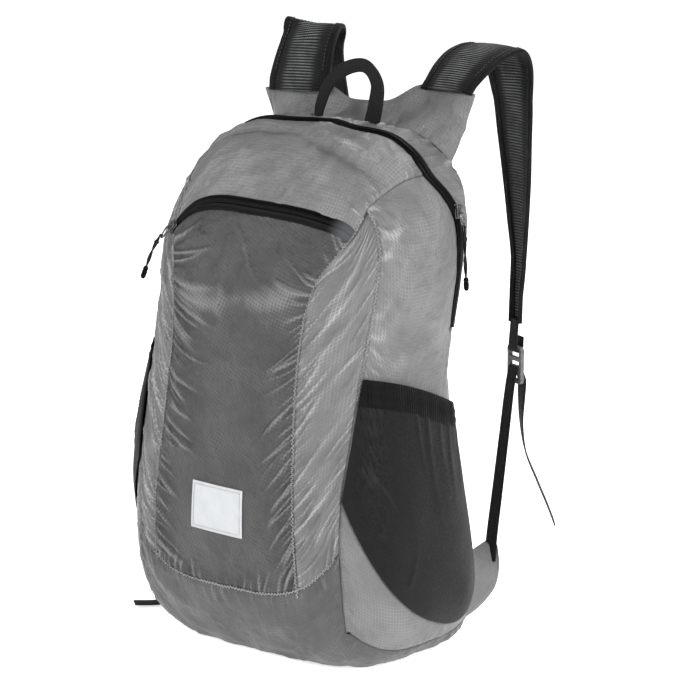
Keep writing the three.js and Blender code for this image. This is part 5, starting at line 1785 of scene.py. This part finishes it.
class BACKPACK_OT_zips(BackpackOperator, bpy.types.Operator):
    """The main zip and the pocket zip: coated tapes that meet over the coil"""

    bl_idname = "backpack.zips"
    bl_label = "Zips"

    def build(self):
        for name, chart, place, width, height, columns in (
            ("main_zip", arch, main_zip_place, MAIN_ZIP_WIDTH, 0.0023, 420),
            ("pocket_zip", meridian, pocket_zip_place, POCKET_ZIP_WIDTH, 0.0013, 150),
        ):
            def lay(s, t):
                u, v = place(s, t + (t - 0.5) * 2 * ZIP_SPREAD / width)
                points, out = chart(u, v), outward(chart, u, v)
                x, y = lay_flat(points)
                x = np.where(name == "main_zip", -np.abs(x), x)  # so that its tape never shines
                from_middle = np.abs(t - 0.5) * width
                groove = 0.0009 * np.exp(-((from_middle / 0.0006) ** 2))
                dome = height * (1 - np.abs(2 * t - 1) ** 2.5)
                edge = 0.0005 * np.exp(-(((0.5 * width - from_middle - 0.0012) / 0.0005) ** 2))
                sway = 0.0003 * noise(x / 0.02, y / 0.01, 5)
                lift = 0.0002 + dome - groove - edge + sway
                return points + out * lift[..., None], np.stack([x, y], -1), out

            mesh = grid_mesh(f"{name}_tape", columns, 28, lay)
            thicken(put(mesh, "zip_tape", "zip", name), ZIP_THICKNESS)


class BACKPACK_OT_label(BackpackOperator, bpy.types.Operator):
    """The blank woven label and the stitches round it"""

    bl_idname = "backpack.label"
    bl_label = "Label"

    def build(self):
        u0, v0 = LABEL_SPOT
        wide = shift_u(meridian, u0, v0, LABEL_SIZE[0] / 2) - u0
        high = shift_v(meridian, u0, v0, LABEL_SIZE[1] / 2) - v0

        def spot(s, t, lift):
            u, v = u0 + (2 * s - 1) * wide, v0 + (2 * t - 1) * high
            out = outward(meridian, u, v)
            return meridian(u, v) + out * np.asarray(lift)[..., None], out

        def lay(s, t):
            inward = [np.minimum(at, 1 - at) * size for at, size in zip((s, t), LABEL_SIZE)]
            edge = np.minimum(*inward)
            seam = 0.0005 * np.exp(-(((edge - LABEL_SEAM) / 0.0007) ** 2))
            waves = 0.0002 * noise(s * 5, t * 3, 4)
            points, out = spot(s, t, 0.0014 - seam + waves - 0.0006 * (edge < 1e-6))
            return points, np.stack([s * LABEL_SIZE[0], t * LABEL_SIZE[1]], -1), out

        mesh = grid_mesh("label_cloth", 62, 44, lay)
        thicken(put(mesh, "label_satin", "label", "label_patch"), LABEL_THICKNESS)
        bm = bmesh.new()
        inset = [LABEL_SEAM / size for size in LABEL_SIZE]
        corners = [(inset[0], inset[1]), (1 - inset[0], inset[1]),
                   (1 - inset[0], 1 - inset[1]), (inset[0], 1 - inset[1])]
        for k in range(4):
            a, b = np.array(corners[k]), np.array(corners[(k + 1) % 4])
            t = np.linspace(0, 1, 30)
            line = mix(a, b, t[:, None])
            points, outs = spot(line[:, 0], line[:, 1], 0.0012 + 0 * t)
            straight_run(bm, points, outs, 0.0016, 0.0008, 0.00022)
        put(mesh_of(bm, "label_stitches"), "dark_thread", "label")


class BACKPACK_OT_mesh_pockets(BackpackOperator, bpy.types.Operator):
    """The stretch mesh side pockets and their gathered hems"""

    bl_idname = "backpack.mesh_pockets"
    bl_label = "Mesh Pockets"

    def build(self):
        for word, side in SIDES:
            def spots(s, share, extra):
                around, up = mesh_place(s, share)
                out = outward(ring, side * around, up)
                lift = pocket_lift(s, share) + extra
                return ring(side * around, up) + out * lift[..., None], out

            def pocket(s, t):
                share = t * under_mouth(s, POCKET_HEM - 0.001)
                points, _ = spots(s, share, 0 * s)
                x, y = lay_flat(points)
                edge = np.minimum(np.minimum(s, 1 - s), t)
                ease = smooth(0, 0.08, edge)
                lift = 0.0014 + 0.0008 * ease * noise(x / 0.03, y / 0.045, 81)
                made = 0 * x
                for at, up, turn, long, wide, high in MESH_CREASES:
                    i, j = round(up * (s.shape[0] - 1)), round(at * (s.shape[1] - 1))
                    start = (x[i, j], y[i, j])
                    made = made + crease(x, y, start, math.radians(turn), long, wide, high, -0.2)
                # The crest, which the mesh's finish paints as a highlight on its creases.
                crest = np.clip(made / 0.001 + 0.35 * crumple(x, y, 83, 0.04), -1, 1)
                points, out = spots(s, share, lift + ease * made)
                return points, np.stack([x, y], -1), out, crest

            def hem(s, t):
                share = mix(under_mouth(s, POCKET_HEM), 1 + 0 * s, t)
                points, _ = spots(s, share, 0 * s)
                x, y = lay_flat(points)
                ribs = 0.00035 * np.sin(2 * np.pi * x / 0.0031)
                rows = 0.0003 * np.cos(2 * np.pi * t * 3)
                puff = 0.0006 * np.sin(np.pi * t) ** 0.5
                knit = (ribs + rows) * np.sin(np.pi * t) ** 0.5
                points, out = spots(s, share, 0.0012 + knit + puff)
                return points, np.stack([x, y], -1), out

            mesh = grid_mesh(f"pocket_mesh_{word}", 90, 110, pocket)
            thicken(put(mesh, "pocket_knit", "stretch_mesh", f"mesh_pocket_{word}"), MESH_THICKNESS)
            mesh = grid_mesh(f"pocket_elastic_{word}", 320, 24, hem)
            thicken(put(mesh, "hem_knit", "stretch_mesh", f"pocket_hem_{word}"), HEM_THICKNESS)


class BACKPACK_OT_straps(BackpackOperator, bpy.types.Operator):
    """The mesh shoulder straps and their bound edges"""

    bl_idname = "backpack.straps"
    bl_label = "Straps"

    def build(self):
        for word, side in SIDES:
            rows = sewn_rows(strap_rows(side), *STRAP_SEWN)

            def inner(full):
                reach = 0.5 - (STRAP_BINDING - 0.002) / full
                return -reach, reach

            mesh = band_mesh(f"strap_cloth_{word}", rows, STRAP_WIDTH, STRAP_THICKNESS, 56, 220,
                             inner, STRAP_CUP)
            put(mesh, "strap_ribs", "strap_mesh", f"shoulder_strap_{word}")
            for edge, hand in (("outer", side), ("inner", -side)):
                def bound(full, hand=hand):
                    return hand * (0.5 - STRAP_BINDING / full), hand * 0.5

                mesh = band_mesh(f"binding_{edge}_{word}", rows, STRAP_WIDTH,
                                 BINDING_THICKNESS, 20, 220, bound, STRAP_CUP)
                put(mesh, "binding_tape", "webbing", f"strap_binding_{edge}_{word}")


class BACKPACK_OT_webbing(BackpackOperator, bpy.types.Operator):
    """The straps' tabs, the lower webbing, the wings and the grab handle"""

    bl_idname = "backpack.webbing"
    bl_label = "Webbing and Handle"

    def build(self):
        for word, side in SIDES:
            for piece, rows, steps, node in (
                ("tab", tab_rows(side), 150, "strap_tab"),
                ("tail", sewn_rows(webbing_rows(side), *WEBBING_SEWN), 420, "lower_webbing"),
            ):
                mesh = band_mesh(f"{piece}_webbing_{word}", rows, WEBBING_WIDTH,
                                 WEBBING_THICKNESS, 40, steps, ribs=6)
                put(mesh, "woven_webbing", "webbing", f"{node}_{word}")
            put(self.wing(word, side), "ripstop_side", "shell_side", f"strap_wing_{word}")
        put(self.handle(), "woven_webbing", "webbing", "grab_handle")

    def wing(self, word, side):
        foot, turn = web_foot(side)
        turn = math.radians(turn)
        half = np.array([math.cos(turn), math.sin(turn), 0]) * WING_END / 2
        top = foot - np.array([0, 0, 0.002])
        outer, inner = top + half * side, top - half * side
        face = unit(np.array([side * -0.85, 0.5, 0.15]))

        def lay(angle, t):
            s = (squared(np.cos(angle), 0.3) + 1) / 2
            depth = squared(np.sin(angle), 0.6)
            up = mix(WING_LOW, WING_HIGH, s)
            root = back_edge(side, up) + outward(back_edge, side + 0 * up, up) * 0.0004
            tip = mix(outer, inner, s[..., None])
            points = mix(root, tip, t[..., None])
            belly = WING_BELLY * np.sin(np.pi * t) * (1 - s)
            points = points + np.stack([side * belly * 0.6, belly, -belly * 0.3], -1)
            waves = 0.0007 * crumple(s * 0.05, t * 0.05, 91, 0.02)
            points = points + face * (depth * 0.0008 + waves * smooth(0, 0.1, t))[..., None]
            points[..., 2] = np.maximum(points[..., 2], WING_CLEAR)
            return points, np.stack([s * 0.05, t * 0.05], -1), face * depth[..., None]

        return tube_mesh(f"wing_cloth_{word}", 60, 44, lay)

    def handle(self):
        across, back = HANDLE_SPOT
        feet = [arch(np.float64(side * across), np.float64(back)) for side in (-1, 1)]
        middle = (feet[0] + feet[1]) / 2
        spacing = float(length_of(feet[1] - feet[0]))
        points = [middle + np.array([a * spacing, lean * HANDLE_RISE, 0.0005 + up * HANDLE_RISE])
                  for a, lean, up in HANDLE]
        face = np.array([0.0, -1.0, 0.0])

        def lay(angle, t):
            line, way = curve_point(points, t), tangent(points, t)
            side = unit(np.cross(face + 0 * way, way))
            cross, deep = squared(np.cos(angle), 0.35), squared(np.sin(angle), 0.45)
            rib = 1 + 0.06 * np.cos(cross * np.pi * 7)
            wide = HANDLE_WIDTH / 2 * np.interp(t, *HANDLE_WIDTHS)
            spot = line + side * (cross * wide)[..., None]
            spot = spot + face * (deep * 0.0015 * rib)[..., None]
            run = run_of(line[:, 0])
            cloth = np.stack([cross * HANDLE_WIDTH / 2, run[:, None] + 0 * angle], -1)
            return spot, cloth, side * np.cos(angle)[..., None] + face * np.sin(angle)[..., None]

        return tube_mesh("handle_webbing", 44, 150, lay)


class BACKPACK_OT_ladder_locks(BackpackOperator, bpy.types.Operator):
    """The ladder locks: two rails and four bars with rounded edges"""

    bl_idname = "backpack.ladder_locks"
    bl_label = "Ladder Locks"

    def build(self):
        for word, side in SIDES:
            lock = lock_of(side)
            x, y, z = lock["across"], lock["up"], -lock["out"]
            bm = bmesh.new()
            bmesh.ops.create_grid(bm, x_segments=3, y_segments=2 * LOCK_BARS - 1, size=0.5)
            inner = LOCK_WIDTH / 2 - LOCK_RAIL
            across = {-0.5: -LOCK_WIDTH / 2, -1 / 6: -inner, 1 / 6: inner, 0.5: LOCK_WIDTH / 2}
            heights = []
            for i in range(LOCK_BARS):
                heights += [lock_bar(i) + LOCK_BAR / 2, lock_bar(i) - LOCK_BAR / 2]
            heights = sorted(heights)
            for v in bm.verts:
                row = round((v.co.y + 0.5) * (2 * LOCK_BARS - 1))
                v.co.x = across[min(across, key=lambda k: abs(k - v.co.x))]
                v.co.y = heights[row]
            holes = []
            for f in bm.faces:
                spot = f.calc_center_median()
                gap = min(abs(spot.y - lock_bar(i)) for i in range(LOCK_BARS)) > LOCK_BAR / 2
                if abs(spot.x) < inner and gap:
                    holes.append(f)
            bmesh.ops.delete(bm, geom=holes, context="FACES")
            made = bmesh.ops.extrude_face_region(bm, geom=list(bm.faces))
            top = [g for g in made["geom"] if isinstance(g, bmesh.types.BMVert)]
            bmesh.ops.translate(bm, vec=(0, 0, LOCK_THICKNESS), verts=top)
            bmesh.ops.translate(bm, vec=(0, 0, -LOCK_THICKNESS / 2), verts=bm.verts)
            corners = [e for e in bm.edges
                       if all(abs(abs(v.co.x) - LOCK_WIDTH / 2) < 1e-6
                              and abs(abs(v.co.y) - LOCK_HEIGHT / 2) < 1e-6 for v in e.verts)
                       and abs(e.verts[0].co.z - e.verts[1].co.z) > LOCK_THICKNESS / 2]
            bmesh.ops.bevel(bm, geom=corners, offset=LOCK_CORNER, segments=6, profile=0.5,
                            affect="EDGES", material=-1)
            bmesh.ops.recalc_face_normals(bm, faces=bm.faces)
            sharp = [e for e in bm.edges if len(e.link_faces) == 2 and e.calc_face_angle(0) > 0.9]
            bmesh.ops.bevel(bm, geom=sharp, offset=LOCK_EDGE, segments=3, profile=0.5,
                            affect="EDGES", material=-1, clamp_overlap=True)
            bmesh.ops.transform(bm, matrix=matrix_of(x, y, z, lock["middle"]), verts=bm.verts)
            put(mesh_of(bm, f"lock_body_{word}"), "buckle_plastic", "plastic",
                f"ladder_lock_{word}")


def seam_line(kind, side, count):
    """Points and normals along a seam, raised a little off its valley."""
    t = np.linspace(0.01, 0.99, count)
    if kind == "front":
        up = mix(-0.72, 0.985, t)
        chart, u, v = ring, side * front_seam(up, side), up
    elif kind == "side":
        up = mix(0.08, 0.985, t)
        chart, u, v = ring, side * side_seam(up), up
    else:
        across = mix(-0.95, 0.95, t)
        chart, u, v = meridian, across, foot_seam(across)
    return chart(u, v), outward(chart, u, v)


class BACKPACK_OT_stitching(BackpackOperator, bpy.types.Operator):
    """Zigzag seams on the cloth, and the rows of stitches on webbing and straps"""

    bl_idname = "backpack.stitching"
    bl_label = "Stitching"

    def build(self):
        bm = bmesh.new()
        for kind, side in (("front", -1), ("front", 1), ("side", -1), ("side", 1), ("foot", 1)):
            points, outs = seam_line(kind, side, 400)
            self.zigzag(bm, points, outs)
        put(mesh_of(bm, "seam_zigzag"), "zigzag_thread", "shell_side")
        bm = bmesh.new()
        for _, side in SIDES:
            rows = strap_rows(side)
            for hand in (-1, 1):
                def beside_edge(full, hand=hand):
                    return hand * (0.5 - STITCH_INSET / full)

                along = np.linspace(0.03, 0.985, 500)
                self.along_band(bm, rows, along, beside_edge, 0.0024, 0.0026, 0.0012)
            for at in (0.29, 0.31):
                self.along_band(bm, rows, np.full(40, at), self.straight_across,
                                0.0017, 0.0022, 0.001)
        put(mesh_of(bm, "strap_stitches"), "dark_thread", "webbing")

    def zigzag(self, bm, points, outs):
        way = unit(np.gradient(points, axis=0))
        aside = unit(np.cross(way, outs))
        steps = run_of(points)
        spots = []
        for k in range(int(steps[-1] / (ZIGZAG_PITCH / 2))):
            at = k * ZIGZAG_PITCH / 2
            p, a, o = (at_distance(at, steps, values) for values in (points, aside, outs))
            sway = 0.5 + 0.16 * float(hashed(k, 1, 3))
            sway = sway if k % 2 else -sway
            spots.append((p + a * ZIGZAG_WIDTH * sway + o * ZIGZAG_LIFT, o))
        for (p, o), (q, _) in zip(spots, spots[1:]):
            stitch(bm, p, q, o, ZIGZAG_RADIUS)

    def straight_across(self, full):
        return np.linspace(-0.38, 0.38, len(full))

    def along_band(self, bm, rows, t, place_of, lift, stitch_length, gap):
        """Stitches on a strap, where place_of gives their places across its full width."""
        middle, across, out, share = band_path(rows, t)
        full = STRAP_WIDTH * share
        place = place_of(full)
        bow = STRAP_CUP * (1 - (2 * place) ** 2) + lift
        points = middle + across * (place * full)[:, None] + out * bow[:, None]
        straight_run(bm, points, out, stitch_length, gap, STITCH_RADIUS)


OPERATORS = (
    BACKPACK_OT_stage,
    BACKPACK_OT_cords,
    BACKPACK_OT_zip_hardware,
    BACKPACK_OT_front,
    BACKPACK_OT_sides,
    BACKPACK_OT_top_and_back,
    BACKPACK_OT_yoke,
    BACKPACK_OT_zips,
    BACKPACK_OT_label,
    BACKPACK_OT_mesh_pockets,
    BACKPACK_OT_straps,
    BACKPACK_OT_webbing,
    BACKPACK_OT_ladder_locks,
    BACKPACK_OT_stitching,
)


class BACKPACK_PT_sidebar(bpy.types.Panel):
    bl_idname = "BACKPACK_PT_sidebar"
    bl_label = "Hiking Backpack"
    bl_space_type = "VIEW_3D"
    bl_region_type = "UI"
    bl_category = "Backpack"

    def draw(self, context):
        scene = context.scene
        for group in (scene.backpack_cloth, scene.backpack_trim, scene.backpack_stage):
            box = self.layout.box()
            for name in group.__annotations__:
                box.prop(group, name)
        for operator in OPERATORS:
            self.layout.operator(operator.bl_idname)


GROUPS = {
    "backpack_cloth": BackpackCloth,
    "backpack_trim": BackpackTrim,
    "backpack_stage": BackpackStage,
}


def register():
    for group in GROUPS.values():
        bpy.utils.register_class(group)
    for name, group in GROUPS.items():
        setattr(bpy.types.Scene, name, bpy.props.PointerProperty(type=group))
    for operator in (*OPERATORS, BACKPACK_PT_sidebar):
        bpy.utils.register_class(operator)


def unregister():
    for operator in (BACKPACK_PT_sidebar, *reversed(OPERATORS)):
        bpy.utils.unregister_class(operator)
    for name in GROUPS:
        delattr(bpy.types.Scene, name)
    for group in GROUPS.values():
        bpy.utils.unregister_class(group)


def main():
    register()
    for operator in OPERATORS:
        group, name = operator.bl_idname.split(".")
        getattr(getattr(bpy.ops, group), name)()
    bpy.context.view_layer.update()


if __name__ == "__main__":
    main()
